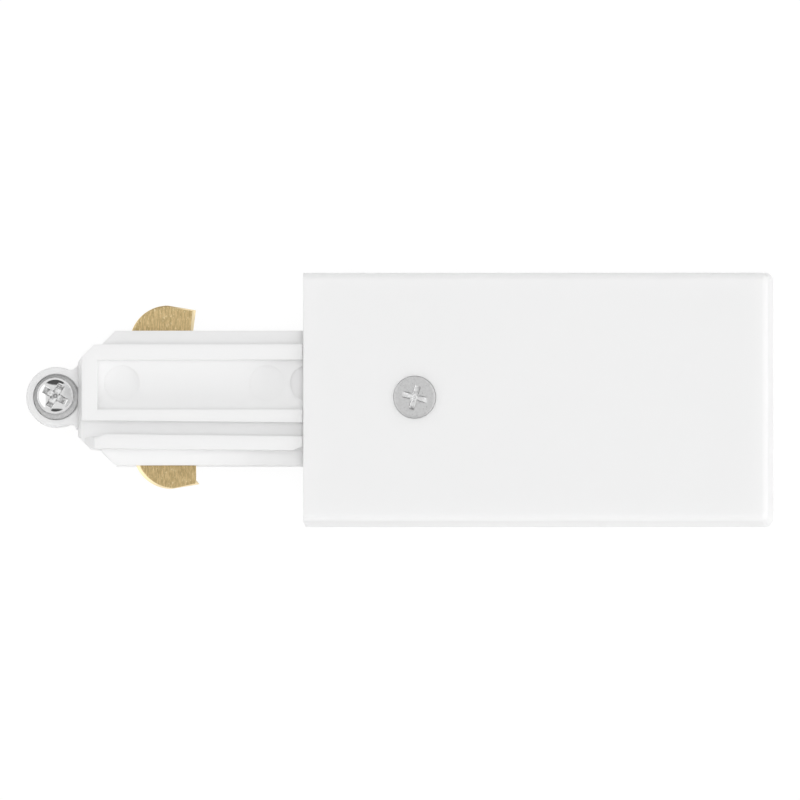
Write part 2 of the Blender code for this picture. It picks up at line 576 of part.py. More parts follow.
def make_plug_front(finish):
    """The front moulding: flanges, a block with three ribs, a recess and a groove, and the root."""
    low = TONGUE_LOW_Z

    # The flanges fill the track's channel; their tops fall a little outwards
    edge_z = FLANGE_TOP_Z - FLANGE_FALL
    section = [(-PLUG_HALF_WIDTH, low), (PLUG_HALF_WIDTH, low), (PLUG_HALF_WIDTH, edge_z),
               (BLOCK_HALF_WIDTH, FLANGE_TOP_Z), (-BLOCK_HALF_WIDTH, FLANGE_TOP_Z),
               (-PLUG_HALF_WIDTH, edge_z)]
    front = prism("plug_front", section, FLANGE_NOSE_X, ROOT_STEP_X, "X")
    for side in (-1, 1):
        corner = [(FLANGE_NOSE_X - PAST, side * (BLOCK_HALF_WIDTH - PAST)),
                  (FLANGE_NOSE_X + FLANGE_CHAMFER + PAST, side * (PLUG_HALF_WIDTH + PAST)),
                  (FLANGE_NOSE_X - PAST, side * (PLUG_HALF_WIDTH + PAST))]
        cut(front, prism("flange corner", corner, low - PAST, FLANGE_TOP_Z + PAST))

    # The block leans back a little at the nose
    foot = plug_outline(BLOCK_HALF_WIDTH, PLUG_NOSE_X, NOSE_CHAMFER, RIB_END_X, LOWER_NOSE_CHAMFER, TOE)
    crown = plug_outline(BLOCK_HALF_WIDTH, PLUG_NOSE_X, NOSE_CHAMFER, RIB_END_X, LOWER_NOSE_CHAMFER, TOE,
                         NOSE_LEAN)
    block = loft("block", foot, crown, low, RIB_TOP_Z)
    round_edges(block, RIB_END_ROUND, 3,
                lambda a, b: min(a.z, b.z) > RIB_TOP_Z - LAP and min(a.x, b.x) > RIB_END_X - LAP)

    # The recess between the first two ribs, and the groove between the last two
    past_ribs = RIB_END_X + PAST
    cut(block, box("recess", (RECESS_NOSE_X, past_ribs), (MIDDLE_RIB_Y[0], UPPER_RIB_FOOT_Y),
                   (RECESS_FLOOR_Z, RIB_TOP_Z + PAST)))
    toe_x = PLUG_NOSE_X - PAST
    mouth_x = PLUG_NOSE_X + MOUTH_LENGTH
    mouth_y = LOWER_RIB_FOOT_Y + TOE
    groove = [(toe_x, MIDDLE_RIB_Y[1] + TOE), (toe_x, mouth_y - MOUTH - STEP), (mouth_x, mouth_y - MOUTH),
              (mouth_x + MOUTH_SLOPE, mouth_y), (past_ribs, LOWER_RIB_FOOT_Y), (past_ribs, MIDDLE_RIB_Y[1])]
    cut(block, prism("groove", groove, GROOVE_FLOOR_Z, RIB_TOP_Z + PAST))

    # The lower rib begins with a sloping lead-in and ends with its outer corner cut off
    lead_low = PLUG_NOSE_X + LEAD_START
    lead_high = lead_low + LEAD_LENGTH
    lead = [(toe_x, GROOVE_FLOOR_Z), (lead_low, GROOVE_FLOOR_Z), (lead_high, RIB_TOP_Z),
            (lead_high, RIB_TOP_Z + PAST), (toe_x, RIB_TOP_Z + PAST)]
    cut(block, prism("lead-in", lead, -BLOCK_HALF_WIDTH - PAST, mouth_y + LAP, "Y"))
    end_x, end_y = RIB_END_X - LOWER_RIB_END[0], -BLOCK_HALF_WIDTH + LOWER_RIB_END[1]
    end = [(end_x, -BLOCK_HALF_WIDTH), (end_x, -BLOCK_HALF_WIDTH - PAST),
           (past_ribs, -BLOCK_HALF_WIDTH - PAST), (past_ribs, end_y), (RIB_END_X, end_y)]
    cut(block, prism("rib end", end, FLANGE_TOP_Z, RIB_TOP_Z + PAST))
    join(front, block)

    # Past the ribs the recess floor and the groove floor run on under the housing's wall
    run_on = [(-BLOCK_HALF_WIDTH, FLANGE_TOP_Z - LAP), (BLOCK_HALF_WIDTH, FLANGE_TOP_Z - LAP),
              (BLOCK_HALF_WIDTH, RECESS_FLOOR_Z), (-BLOCK_HALF_WIDTH, RECESS_FLOOR_Z)]
    join(front, prism("run on", run_on, RIB_END_X - LAP, ROOT_STEP_X, "X"))
    for setback in EJECTOR_SETBACK:
        mark_x = PLUG_NOSE_X + setback
        clear_of_wall = mark_x < OPEN_END_X - EJECTOR_RADIUS
        cut(front, rod("ejector mark", mark_x, UPPER_RIB_FOOT_Y - EJECTOR_INSET,
                       RECESS_FLOOR_Z - EJECTOR_DEPTH,
                       RIB_TOP_Z + PAST if clear_of_wall else RECESS_FLOOR_Z + PAST,
                       EJECTOR_RADIUS, WIDE_ROUND))

    # Inside the housing: the root, the post for the cover screw and the two ears
    join(front, box("root", (ROOT_STEP_X - LAP, ROOT_END_X), (-PLUG_HALF_WIDTH, PLUG_HALF_WIDTH),
                    (low, ROOT_TOP_Z)))
    post_top = INSIDE_Z - COVER_BOSS_DROP - GAP
    join(front, rod("post", COVER_SCREW_X, 0, ROOT_TOP_Z - LAP, post_top, POST_RADIUS))
    cut(front, rod("post bore", COVER_SCREW_X, 0, low - PAST, post_top + PAST,
                   COVER_SCREW_SHANK + GAP))
    for side in (-1, 1):
        join(front, box("ear", (EAR_X - EAR_HALF_LENGTH, EAR_X + EAR_HALF_LENGTH),
                        between(side, PLUG_HALF_WIDTH - LAP, EAR_OUTER_Y), (low + STEP, EAR_TOP_Z)))
        cut(front, rod("ear hole", EAR_X, side * EAR_Y, low - PAST, EAR_TOP_Z + PAST,
                       PLUG_SCREW_SHANK + GAP, SMALL_ROUND))

    # Pockets that let the contacts' tongues spring in
    for side in (-1, 1):
        cut(front, box("tongue pocket", tongue_slot(side),
                       between(side, CHANNEL_INNER_Y, PLUG_HALF_WIDTH + PAST),
                       (low - PAST, TONGUE_TOP_Z + GAP)))
    return shade(front, finish)


def tongue_slot(side):
    """The length of plug that a contact's tongue needs when it is at rest or pressed in."""
    spare = GAP + CONTACT_PRESS * 0.35
    shift = NEUTRAL_SHIFT if side < 0 else 0
    return CONTACT_CREST_X + shift - CONTACT_ARC - spare, CONTACT_BACK_X + shift + spare


def make_plug_back(finish):
    """The back moulding: a tray for the contacts, the lug, and ears that rest on the base."""
    low = BASE_THICK + GAP
    plan = plug_outline(PLUG_HALF_WIDTH, FLANGE_NOSE_X, FLANGE_CHAMFER, ROOT_END_X)
    back = prism("plug_back", plan, low, PARTING_Z)
    nose = plug_outline(BLOCK_HALF_WIDTH - STEP, PLUG_NOSE_X, NOSE_CHAMFER - STEP, FLANGE_NOSE_X + PAST,
                        LOWER_NOSE_CHAMFER, TOE)
    join(back, prism("nose", nose, low, PARTING_Z))

    # The lug, with a neck that runs into the nose wall in two small rounds
    lug = rod("lug", LUG_X, LUG_Y, STRAP_ROOF_Z, LUG_TOP_Z, LUG_RADIUS, WIDE_ROUND)
    round_edges(lug, LUG_EDGE_ROUND, 2,
                lambda a, b: min(a.z, b.z) > LUG_TOP_Z - LAP and (a - b).length < LUG_RADIUS / 3)
    wall_x = PLUG_NOSE_X - GAP
    far_x = PLUG_NOSE_X + PAST
    corner = LUG_NECK_HALF_WIDTH + LUG_NECK_ROUND
    neck = ([(LUG_X, LUG_Y - LUG_NECK_HALF_WIDTH)]
            + arc(wall_x - LUG_NECK_ROUND, LUG_Y - corner, LUG_NECK_ROUND, 90, 0, 3)
            + [(far_x, LUG_Y - corner), (far_x, LUG_Y + corner)]
            + arc(wall_x - LUG_NECK_ROUND, LUG_Y + corner, LUG_NECK_ROUND, 0, -90, 3)
            + [(LUG_X, LUG_Y + LUG_NECK_HALF_WIDTH)])
    join(lug, prism("neck", neck, STRAP_ROOF_Z, LUG_TOP_Z))
    way = LUG_RADIUS + PAST
    cut(lug, box("room for the front moulding", (wall_x, PLUG_NOSE_X + LUG_RADIUS),
                 (LUG_Y - way, LUG_Y + way), (PARTING_Z - STEP, LUG_TOP_Z + PAST)))
    join(back, lug)
    cut(back,
        rod("washer seat", LUG_X, LUG_Y, SEAT_Z, LUG_TOP_Z + PAST, SEAT_RADIUS, WIDE_ROUND),
        rod("lock bore", LUG_X, LUG_Y, STRAP_ROOF_Z - PAST, SEAT_Z + PAST, LOCK_SHANK + GAP))

    # Channels that the contact strips stand and spring in
    for side in (-1, 1):
        cut(back, box("strip channel", (tongue_slot(side)[0], ROOT_END_X + PAST),
                      between(side, CHANNEL_INNER_Y, STRIP_Y + GAP), (STRIP_LOW_Z - GAP, PARTING_Z + PAST)))

    # Two pockets in the core save plastic and keep the walls even
    core = CHANNEL_INNER_Y - CORE_WALL
    core_floor = STRAP_ROOF_Z + CORE_WALL
    first_x = PLUG_NOSE_X + CORE_NOSE_WALL
    for pocket_x in (first_x, first_x + CORE_POCKET + CORE_RIB):
        cut(back, box("core pocket", (pocket_x, pocket_x + CORE_POCKET), (-core, core),
                      (core_floor, PARTING_Z + PAST)))

    # The groove for the earth strap, in the face that lies on the track
    strap_way = STRAP_WIDTH / 2 + GAP
    cut(back,
        box("strap groove", (LUG_X, ROOT_END_X + PAST), (-strap_way, strap_way), (low - PAST, STRAP_ROOF_Z)),
        rod("ring seat", LUG_X, LUG_Y, low - PAST, STRAP_ROOF_Z, STRAP_RING + GAP, WIDE_ROUND))

    for side in (-1, 1):
        join(back, box("ear", (EAR_X - EAR_HALF_LENGTH, EAR_X + EAR_HALF_LENGTH),
                       between(side, PLUG_HALF_WIDTH - LAP, EAR_OUTER_Y), (EAR_LOW_Z, PARTING_Z - STEP)))
        cut(back, rod("ear hole", EAR_X, side * EAR_Y, EAR_LOW_Z - PAST, PARTING_Z + PAST,
                      PLUG_SCREW_SHANK + GAP, SMALL_ROUND))

    # Inside the housing the back stands a little clear of the base plate
    cut(back, box("root relief", (OPEN_END_X + WALL / 2, ROOT_END_X + PAST),
                  (-PLUG_HALF_WIDTH - PAST, PLUG_HALF_WIDTH + PAST), (low - PAST, low + STEP)))

    # The post's bore runs on, so that a long screw doesn't bottom
    cut(back, rod("bore relief", COVER_SCREW_X, 0, core_floor, PARTING_Z + PAST,
                  COVER_SCREW_SHANK + GAP))
    return shade(back, finish)


def make_contact(name, side, out, shift, heel, finish):
    """A strip on edge with a tongue folded out at one end and a tail folded out at the other."""
    inner = STRIP_Y - STRIP
    reach = PLUG_HALF_WIDTH + out
    crest_x = CONTACT_CREST_X + shift
    crest_y = reach - CONTACT_ARC
    edge_x = crest_x - math.sqrt(CONTACT_ARC ** 2 - (PLUG_HALF_WIDTH - crest_y) ** 2)
    back_x = CONTACT_BACK_X + shift

    # Side view of the strip: high under the tongue, full along the plug, narrow at the tail
    tail_step = ROOT_END_X - TAIL_STEP
    tail_end = BLOCK_X[0] - GAP
    profile = [(edge_x, STRIP_LOW_Z), (tail_step - TAIL_SLOPE, STRIP_LOW_Z), (tail_step, TAIL_Z),
               (tail_end, TAIL_Z), (tail_end, STRIP_TOP_Z), (back_x, STRIP_TOP_Z),
               (back_x, TONGUE_TOP_Z), (edge_x, TONGUE_TOP_Z)]
    contact = prism(name, profile, inner, STRIP_Y, "Y")

    # The tongue's plan: a round lead-in up to the crest, a falling edge and a back that leans in
    start = math.degrees(math.acos((edge_x - crest_x) / CONTACT_ARC))
    lead_in = arc(crest_x, crest_y, CONTACT_ARC, start, 90, 12)
    corner_y = reach - CONTACT_FALL
    plan = ([(edge_x, inner)] + lead_in
            + [(back_x, corner_y), (back_x - CONTACT_BACK_LEAN, corner_y - heel),
               (back_x - CONTACT_BACK_LEAN, inner)])
    tongue = prism("tongue", plan, TONGUE_LOW_Z, TONGUE_TOP_Z)
    round_edges(tongue, CONTACT_EDGE, 2,
                lambda a, b: min(a.z, b.z) > TONGUE_TOP_Z - LAP / 2 and max(a.y, b.y) > STRIP_Y)
    join(contact, tongue)

    # The tail lies flat, so that the cage can press the wire up against it
    tail_near = TERMINAL_PITCH - TAIL_WIDTH / 2
    tail_far = TERMINAL_PITCH + TAIL_WIDTH / 2
    past_cage = TERMINAL_X + CAGE_LENGTH / 2 + GAP
    past_root = ROOT_END_X + 2 * GAP
    tail = [(tail_step + LAP, inner), (tail_end, inner), (tail_end, tail_near), (past_cage, tail_near),
            (past_cage, tail_far), (past_root, tail_far), (past_root, STRIP_Y), (tail_step + LAP, STRIP_Y)]
    join(contact, prism("tail", tail, TAIL_Z, TAIL_Z + STRIP))

    # The fold under the tongue is round outside
    round_edges(contact, FOLD, 3,
                lambda a, b: all(abs(p.y - inner) < LAP / 10 and abs(p.z - TONGUE_TOP_Z) < LAP / 10
                                 for p in (a, b)))
    if side < 0:
        for vertex in contact.data.vertices:
            vertex.co.y = -vertex.co.y
        contact.data.flip_normals()

    # It springs about its tail, in the middle of its terminal cage
    return shade(contact, finish, (TERMINAL_X, side * TERMINAL_PITCH, TAIL_Z))


def make_earth_strap(finish):
    """A ring under the lug, a strip along the plug's back and a tail in the middle terminal."""
    low = STRAP_Z
    high = STRAP_Z + STRAP_THICK
    half = STRAP_WIDTH / 2
    rise_x = ROOT_END_X + GAP + STRAP_THICK
    tail_end = TERMINAL_X + CAGE_LENGTH / 2 + GAP
    strap = box("earth_strap", (LUG_X, rise_x), (-half, half), (low, high))
    join(strap, rod("ring", LUG_X, LUG_Y, low, high, STRAP_RING, WIDE_ROUND))
    join(strap, box("riser", (rise_x - STRAP_THICK, rise_x), (-TAIL_WIDTH / 2, TAIL_WIDTH / 2),
                    (low, TAIL_Z + STRIP)))
    join(strap, box("tail", (rise_x - STRAP_THICK / 2, tail_end), (-TAIL_WIDTH / 2, TAIL_WIDTH / 2),
                    (TAIL_Z, TAIL_Z + STRIP)))
    cut(strap, rod("ring hole", LUG_X, LUG_Y, low - PAST, high + PAST, LOCK_SHANK + GAP))
    return shade(strap, finish)


def make_terminal_block(finish):
    """A moulded block with a chamber for each terminal cage."""
    block = box("terminal_block", BLOCK_X, (-BLOCK_HALF, BLOCK_HALF), (BASE_THICK + GAP, BLOCK_TOP_Z))
    round_edges(block, BLOCK_ROUND, 2, lambda a, b: min(a.z, b.z) > BLOCK_TOP_Z - LAP)
    chamber_end = TERMINAL_X + CAGE_LENGTH / 2 + 2 * GAP
    wire_floor = CAGE_LOW_Z + CAGE_WALL
    for place in (-1, 0, 1):
        middle = place * TERMINAL_PITCH
        cut(block,
            box("chamber", (BLOCK_X[0] - PAST, chamber_end), (middle - CHAMBER / 2, middle + CHAMBER / 2),
                (CAGE_LOW_Z - GAP, CAGE_TOP_Z + CAGE_RISE + GAP)),
            box("wire way", (chamber_end - LAP, BLOCK_X[1] + PAST),
                (middle - WIRE_WAY / 2, middle + WIRE_WAY / 2), (wire_floor, wire_floor + WIRE_WAY)),
            rod("screwdriver way", TERMINAL_X, middle, CAGE_TOP_Z + CAGE_RISE, BLOCK_TOP_Z + PAST,
                TERMINAL_HEAD + GAP, SMALL_ROUND))
    return shade(block, finish)


def make_cage(name, place, finish):
    """A square tube that rises as its screw is tightened and grips the wire against the tail."""
    middle = place * TERMINAL_PITCH
    half = CAGE_WIDTH / 2
    ends = (TERMINAL_X - CAGE_LENGTH / 2, TERMINAL_X + CAGE_LENGTH / 2)
    cage = box(name, ends, (middle - half, middle + half), (CAGE_LOW_Z, CAGE_TOP_Z))
    round_edges(cage, CAGE_ROUND, 2, lambda a, b: abs(a.x - b.x) > CAGE_LENGTH / 2)
    inner = half - CAGE_WALL
    cut(cage,
        box("window", (ends[0] - PAST, ends[1] + PAST), (middle - inner, middle + inner),
            (CAGE_LOW_Z + CAGE_WALL, CAGE_TOP_Z - CAGE_WALL)),
        rod("thread", TERMINAL_X, middle, CAGE_TOP_Z - CAGE_WALL - LAP, CAGE_TOP_Z + PAST,
            TERMINAL_SHANK + GAP, SMALL_ROUND))
    return shade(cage, finish, (TERMINAL_X, middle, CAGE_LOW_Z))


def make_clamp(finish):
    """The bar that two screws press on the cable's sheath, with two ridges underneath."""
    low = CLAMP_POST_TOP_Z + GAP
    outline = (arc(CLAMP_X, CLAMP_HALF_WIDTH - CLAMP_HALF_LENGTH, CLAMP_HALF_LENGTH, 0, 180, 10)
               + arc(CLAMP_X, -CLAMP_HALF_WIDTH + CLAMP_HALF_LENGTH, CLAMP_HALF_LENGTH, 180, 360, 10))
    bar = prism("cord_clamp", outline, low, low + CLAMP_BAR)
    ridge_half = CLAMP_POST_Y - CLAMP_POST_RADIUS - GAP
    for ridge_x in (CLAMP_X - RIDGE_PITCH / 2, CLAMP_X + RIDGE_PITCH / 2):
        tooth = [(ridge_x - RIDGE_FOOT, low + LAP), (ridge_x + RIDGE_FOOT, low + LAP),
                 (ridge_x + RIDGE_TIP, low - RIDGE_DROP), (ridge_x - RIDGE_TIP, low - RIDGE_DROP)]
        join(bar, prism("ridge", tooth, -ridge_half, ridge_half, "Y"))
    for side in (-1, 1):
        cut(bar, rod("clamp hole", CLAMP_X, side * CLAMP_POST_Y, low - PAST, low + CLAMP_BAR + PAST,
                     CLAMP_SHANK + GAP, SMALL_ROUND))
    return shade(bar, finish, (CLAMP_X, 0, low))


def make_washer(finish):
    """The washer held on the lock screw, seated in the lug."""
    low = SEAT_Z + GAP
    hole = LOCK_SHANK + GAP
    washer = turned("lock_washer", LUG_X, LUG_Y,
                    [(hole, low), (WASHER_RADIUS, low), (WASHER_RADIUS, low + WASHER_THICK),
                     (hole, low + WASHER_THICK), (hole, low)], WIDE_ROUND)
    return shade(washer, finish, (LUG_X, LUG_Y, low))


def make_feed():
    for item in list(bpy.data.objects):
        bpy.data.objects.remove(item, do_unlink=True)

    white = (0.87, 0.87, 0.87)
    brass = (0.56, 0.42, 0.20)
    steel = (0.60, 0.60, 0.61)

    make_housing_cover(material("cover white", white, 0.38))
    make_housing_base(material("base white", white, 0.45))
    make_plug_front(material("plug front white", white, 0.42))
    make_plug_back(material("plug back white", white, 0.42))
    make_contact("live_contact", 1, LIVE_OUT, 0, LIVE_OUT, material("live brass", brass, 0.36, 1.0))
    make_contact("neutral_contact", -1, NEUTRAL_OUT, NEUTRAL_SHIFT, NEUTRAL_HEEL,
                 material("neutral brass", brass, 0.36, 1.0))
    make_earth_strap(material("earth brass", brass, 0.36, 1.0))
    make_washer(material("washer zinc", (0.42, 0.42, 0.42), 0.5, 1.0))
    make_terminal_block(material("terminal block", (0.80, 0.79, 0.75), 0.5))
    make_clamp(material("clamp white", white, 0.5))

    washer_top = SEAT_Z + GAP + WASHER_THICK + GAP
    screw("lock_screw", LUG_X, LUG_Y, washer_top, LOCK_TIP_Z, LOCK_HEAD, LOCK_HEAD_HEIGHT,
          LOCK_SHANK, material("lock screw chrome", steel, 0.15, 1.0), LOCK_TURN, segments=ROUND)
    head_seat = HOUSING_HEIGHT - COVER_SCREW_HEAD_HEIGHT
    screw("cover_screw", COVER_SCREW_X, 0, head_seat, head_seat - COVER_SCREW_LENGTH, COVER_SCREW_HEAD,
          COVER_SCREW_HEAD_HEIGHT, COVER_SCREW_SHANK, material("cover screw zinc", steel, 0.3, 1.0),
          COVER_SCREW_TURN, dome=0.1, segments=ROUND)

    for name, place in (("live", 1), ("earth", 0), ("neutral", -1)):
        make_cage(name + "_cage", place, material(name + " cage zinc", steel, 0.35, 1.0))
        screw(name + "_terminal_screw", TERMINAL_X, place * TERMINAL_PITCH,
              CAGE_TOP_Z + CAGE_RISE + GAP, TAIL_Z + STRIP + GAP, TERMINAL_HEAD, TERMINAL_HEAD_HEIGHT,
              TERMINAL_SHANK, material(name + " screw zinc", steel, 0.3, 1.0),
              TERMINAL_TURN[0] + TERMINAL_TURN[1] * place)

    bar_top = CLAMP_POST_TOP_Z + GAP + CLAMP_BAR
    for number, side in ((1, 1), (2, -1)):
        screw("clamp_screw_%d" % number, CLAMP_X, side * CLAMP_POST_Y, bar_top + GAP,
              BASE_THICK + CLAMP_LIFT / 2, CLAMP_HEAD, CLAMP_HEAD_HEIGHT, CLAMP_SHANK,
              material("clamp screw zinc %d" % number, steel, 0.3, 1.0), CLAMP_TURN * number)
        screw("plug_screw_%d" % number, EAR_X, side * EAR_Y, EAR_TOP_Z + GAP, BASE_THICK + GAP,
              PLUG_SCREW_HEAD, PLUG_SCREW_HEAD_HEIGHT, PLUG_SCREW_SHANK,
              material("plug screw zinc %d" % number, steel, 0.3, 1.0), PLUG_SCREW_TURN * number)


make_feed()
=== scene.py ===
# %% [markdown]
# A power feed for a surface lighting track, seen straight onto its face on white.
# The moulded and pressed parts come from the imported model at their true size. This script gives them
# broken edges and finishes, and models the screws and the washer again with threads and recesses.

# %% The frame
import json
import math

import bmesh
import bpy
from mathutils import Matrix, Vector


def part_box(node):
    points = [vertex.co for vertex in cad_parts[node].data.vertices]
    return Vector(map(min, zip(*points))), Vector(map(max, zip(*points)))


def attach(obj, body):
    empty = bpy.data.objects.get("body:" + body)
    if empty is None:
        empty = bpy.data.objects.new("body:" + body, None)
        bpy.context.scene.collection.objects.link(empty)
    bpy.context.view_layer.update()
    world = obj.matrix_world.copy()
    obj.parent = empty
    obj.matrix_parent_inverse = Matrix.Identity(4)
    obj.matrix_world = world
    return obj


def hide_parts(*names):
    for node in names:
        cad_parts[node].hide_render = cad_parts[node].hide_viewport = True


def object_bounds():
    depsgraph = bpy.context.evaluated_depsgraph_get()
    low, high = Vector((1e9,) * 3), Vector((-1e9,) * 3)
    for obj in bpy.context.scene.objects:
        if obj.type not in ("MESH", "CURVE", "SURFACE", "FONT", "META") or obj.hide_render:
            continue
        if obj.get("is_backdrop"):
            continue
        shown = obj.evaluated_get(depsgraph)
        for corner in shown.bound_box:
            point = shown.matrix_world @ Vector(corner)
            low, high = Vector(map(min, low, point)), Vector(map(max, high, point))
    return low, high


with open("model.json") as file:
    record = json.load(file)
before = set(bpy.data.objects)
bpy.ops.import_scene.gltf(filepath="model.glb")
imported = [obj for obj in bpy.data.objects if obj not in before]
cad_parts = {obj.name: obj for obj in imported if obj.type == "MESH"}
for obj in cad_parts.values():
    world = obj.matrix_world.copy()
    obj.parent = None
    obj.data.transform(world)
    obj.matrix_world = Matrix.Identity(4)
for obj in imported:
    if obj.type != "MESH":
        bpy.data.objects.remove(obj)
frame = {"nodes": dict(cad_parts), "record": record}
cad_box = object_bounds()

MM = 0.001
BODIES = frame["record"]["behaviour"]["bodies"]
BODY_OF = {node: body for body, nodes in BODIES.items() for node in nodes}

# %% [markdown]
# Blender's operators act on what is selected, and the loaded model is selected as it arrives. So each
# step first picks its own piece, and in edit mode the faces or edges that it is about, by their place.

# %% Picking a piece, and faces or edges on it
def deselect():
    """Select nothing, as every step does before it adds a primitive."""
    bpy.ops.object.select_all(action="DESELECT")


def work_on(piece):
    """Select and activate one piece alone."""
    deselect()
    piece.select_set(True)
    bpy.context.view_layer.objects.active = piece


def edit(piece):
    """Enter edit mode on one piece."""
    work_on(piece)
    bpy.ops.object.mode_set(mode="EDIT")


def leave():
    """Leave edit mode."""
    bpy.ops.object.mode_set(mode="OBJECT")


def pick(piece, kind, test):
    """In edit mode, select the vertices, edges or faces that the test says yes to, and count them."""
    bpy.ops.mesh.select_all(action="DESELECT")
    bpy.ops.mesh.select_mode(type=kind)
    shape = bmesh.from_edit_mesh(piece.data)
    parts = {"VERT": shape.verts, "EDGE": shape.edges, "FACE": shape.faces}[kind]
    chosen = [part for part in parts if test(part)]
    for part in chosen:
        part.select_set(True)
    shape.select_flush_mode()
    bmesh.update_edit_mesh(piece.data)
    return len(chosen)


def apply(piece, kind, **settings):
    """Add a modifier, set it and apply it."""
    work_on(piece)
    step = piece.modifiers.new(kind.lower(), kind)
    for name, value in settings.items():
        setattr(step, name, value)
    bpy.ops.object.modifier_apply(modifier=step.name)


def seat(piece, material, node):
    """Give a finished piece its material and the body that its CAD node rides on, and hide that node."""
    work_on(piece)
    bpy.ops.object.transform_apply(location=True, rotation=True, scale=True)
    piece.data.materials.clear()
    piece.data.materials.append(material)
    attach(piece, BODY_OF[node])
    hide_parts(node)
    print(piece.name, "faces:", len(piece.data.polygons))


# %% [markdown]
# A finish is a tree of nodes. Written node by node it is hard to read, so a small class lets plain
# arithmetic add the Math nodes: streak * 0.2 + 0.5 is two nodes. Any other node comes from `add`.

# %% Shader arithmetic
class Wire:
    """One output socket that takes part in arithmetic."""

    def __init__(self, tree, socket):
        self.tree, self.socket = tree, socket

    def maths(self, operation, *values):
        return add(self.tree, "ShaderNodeMath", {"operation": operation}, dict(enumerate(values)))

    def __add__(self, other):
        return self.maths("ADD", self, other)

    def __sub__(self, other):
        return self.maths("SUBTRACT", self, other)

    def __rsub__(self, other):
        return self.maths("SUBTRACT", other, self)

    def __mul__(self, other):
        return self.maths("MULTIPLY", self, other)

    __radd__ = __add__
    __rmul__ = __mul__

    def size(self):
        """The value without its sign."""
        return self.maths("ABSOLUTE", self)

    def between(self, low, high):
        """0 below low, 1 above high and a smooth rise between them."""
        return add(self.tree, "ShaderNodeMapRange", {"interpolation_type": "SMOOTHSTEP"},
                   {"Value": self, "From Min": low, "From Max": high})


def add(tree, kind, settings=None, sockets=None, output=0):
    """Add a node, make its settings, fill its sockets with values or wires and return one output."""
    node = tree.nodes.new(kind)
    for name, value in (settings or {}).items():
        setattr(node, name, value)
    for name, value in (sockets or {}).items():
        if isinstance(value, Wire):
            tree.links.new(value.socket, node.inputs[name])
        else:
            node.inputs[name].default_value = value
    return Wire(tree, node.outputs[output])


# %% [markdown]
# Every finish here is built in the same way: noise that is fixed to the piece, colours mixed by it,
# and a relief that bends the light. The Mix node keeps its sockets for colours at 6 and 7, and its
# output for them at 2, which is why these are numbers.

# %% Colours, noise and the finish
def mix(tree, share, first, second):
    """A colour between two colours."""
    return add(tree, "ShaderNodeMix", {"data_type": "RGBA"}, {0: share, 6: first, 7: second}, 2)


def grey(value, warmth=0.0):
    """A grey, or with some warmth one that has more red and less blue."""
    return value * (1 + warmth), value, value * (1 - warmth), 1.0


def place_on(tree, kind="Object"):
    """The place of a shaded point on its piece, or with kind Normal the way that its face looks."""
    return add(tree, "ShaderNodeTexCoord", output=kind)


def part_of(tree, vector, axis):
    """One coordinate of a vector."""
    return add(tree, "ShaderNodeSeparateXYZ", {}, {"Vector": vector}, axis)


def noise(tree, scale, detail=2.0, roughness=0.5, turn=0.0):
    """Noise whose scale is in features per millimetre, one number or one each along X, Y and Z."""
    scales = scale if isinstance(scale, tuple) else (scale, scale, scale)
    stretched = add(tree, "ShaderNodeMapping", {}, {"Vector": place_on(tree),
                                                   "Rotation": (0, 0, math.radians(turn)),
                                                   "Scale": [value / MM for value in scales]})
    return add(tree, "ShaderNodeTexNoise", {"noise_dimensions": "3D"},
               {"Vector": stretched, "Scale": 1.0, "Detail": detail, "Roughness": roughness})


def finish(name, colour, shine, relief, depth, **fixed):
    """A Principled material. Its colour, roughness and relief are functions of the node tree."""
    made = bpy.data.materials.new(name)
    made.use_nodes = True
    tree = made.node_tree
    shader = tree.nodes["Principled BSDF"]
    for socket, make in (("Base Color", colour), ("Roughness", shine)):
        tree.links.new(make(tree).socket, shader.inputs[socket])
    bump = add(tree, "ShaderNodeBump", {}, {"Height": relief(tree), "Distance": depth, "Strength": 1.0})
    tree.links.new(bump.socket, shader.inputs["Normal"])
    for socket, value in fixed.items():
        shader.inputs[socket.replace("_", " ")].default_value = value
    return made


# %% [markdown]
# The housing and the plug are moulded in white plastic. The housing's tool was spark-eroded, which
# leaves a fine even grain and a soft satin. The plug's tool was polished a little more, so it is
# smoother, with faint long marks where the plastic ran along the ribs. Light goes about a millimetre
# into such plastic and comes out beside where it went in, which softens small shadows.

# %% White plastics
TONE_WANDER, GLOSS_WANDER = 0.008, 0.08
FLOW_MARKS = (0.08, 1.6, 1.6)


def moulded_white(name, level, gloss, grain, depth, run=0.0):
    """White plastic with a faint cloud in its colour and a fine grain in its surface."""
    def colour(tree):
        cloud = noise(tree, 0.05, detail=1.0)
        return mix(tree, cloud, grey(level * (1 - TONE_WANDER)), grey(level * (1 + TONE_WANDER)))

    def shine(tree):
        return noise(tree, 0.4) * GLOSS_WANDER + (gloss - GLOSS_WANDER / 2)

    def relief(tree):
        height = noise(tree, grain, detail=3.0, roughness=0.6)
        return height + noise(tree, FLOW_MARKS, detail=1.0) * run if run else height

    return finish(name, colour, shine, relief, depth, Subsurface_Weight=0.45,
                  Subsurface_Radius=(1.0, 1.0, 1.0), Subsurface_Scale=1.5 * MM)


COVER_WHITE = moulded_white("cover white", level=0.93, gloss=0.42, grain=5.0, depth=0.004 * MM)
BASE_WHITE = moulded_white("base white", level=0.90, gloss=0.48, grain=4.0, depth=0.006 * MM)
PLUG_WHITE = moulded_white("plug white", level=0.925, gloss=0.34, grain=3.0, depth=0.003 * MM, run=0.5)
CLAMP_WHITE = moulded_white("clamp white", level=0.90, gloss=0.46, grain=4.0, depth=0.006 * MM)
BLOCK_WHITE = moulded_white("terminal plastic", level=0.82, gloss=0.45, grain=3.0, depth=0.008 * MM)
print("white plastics: 5")
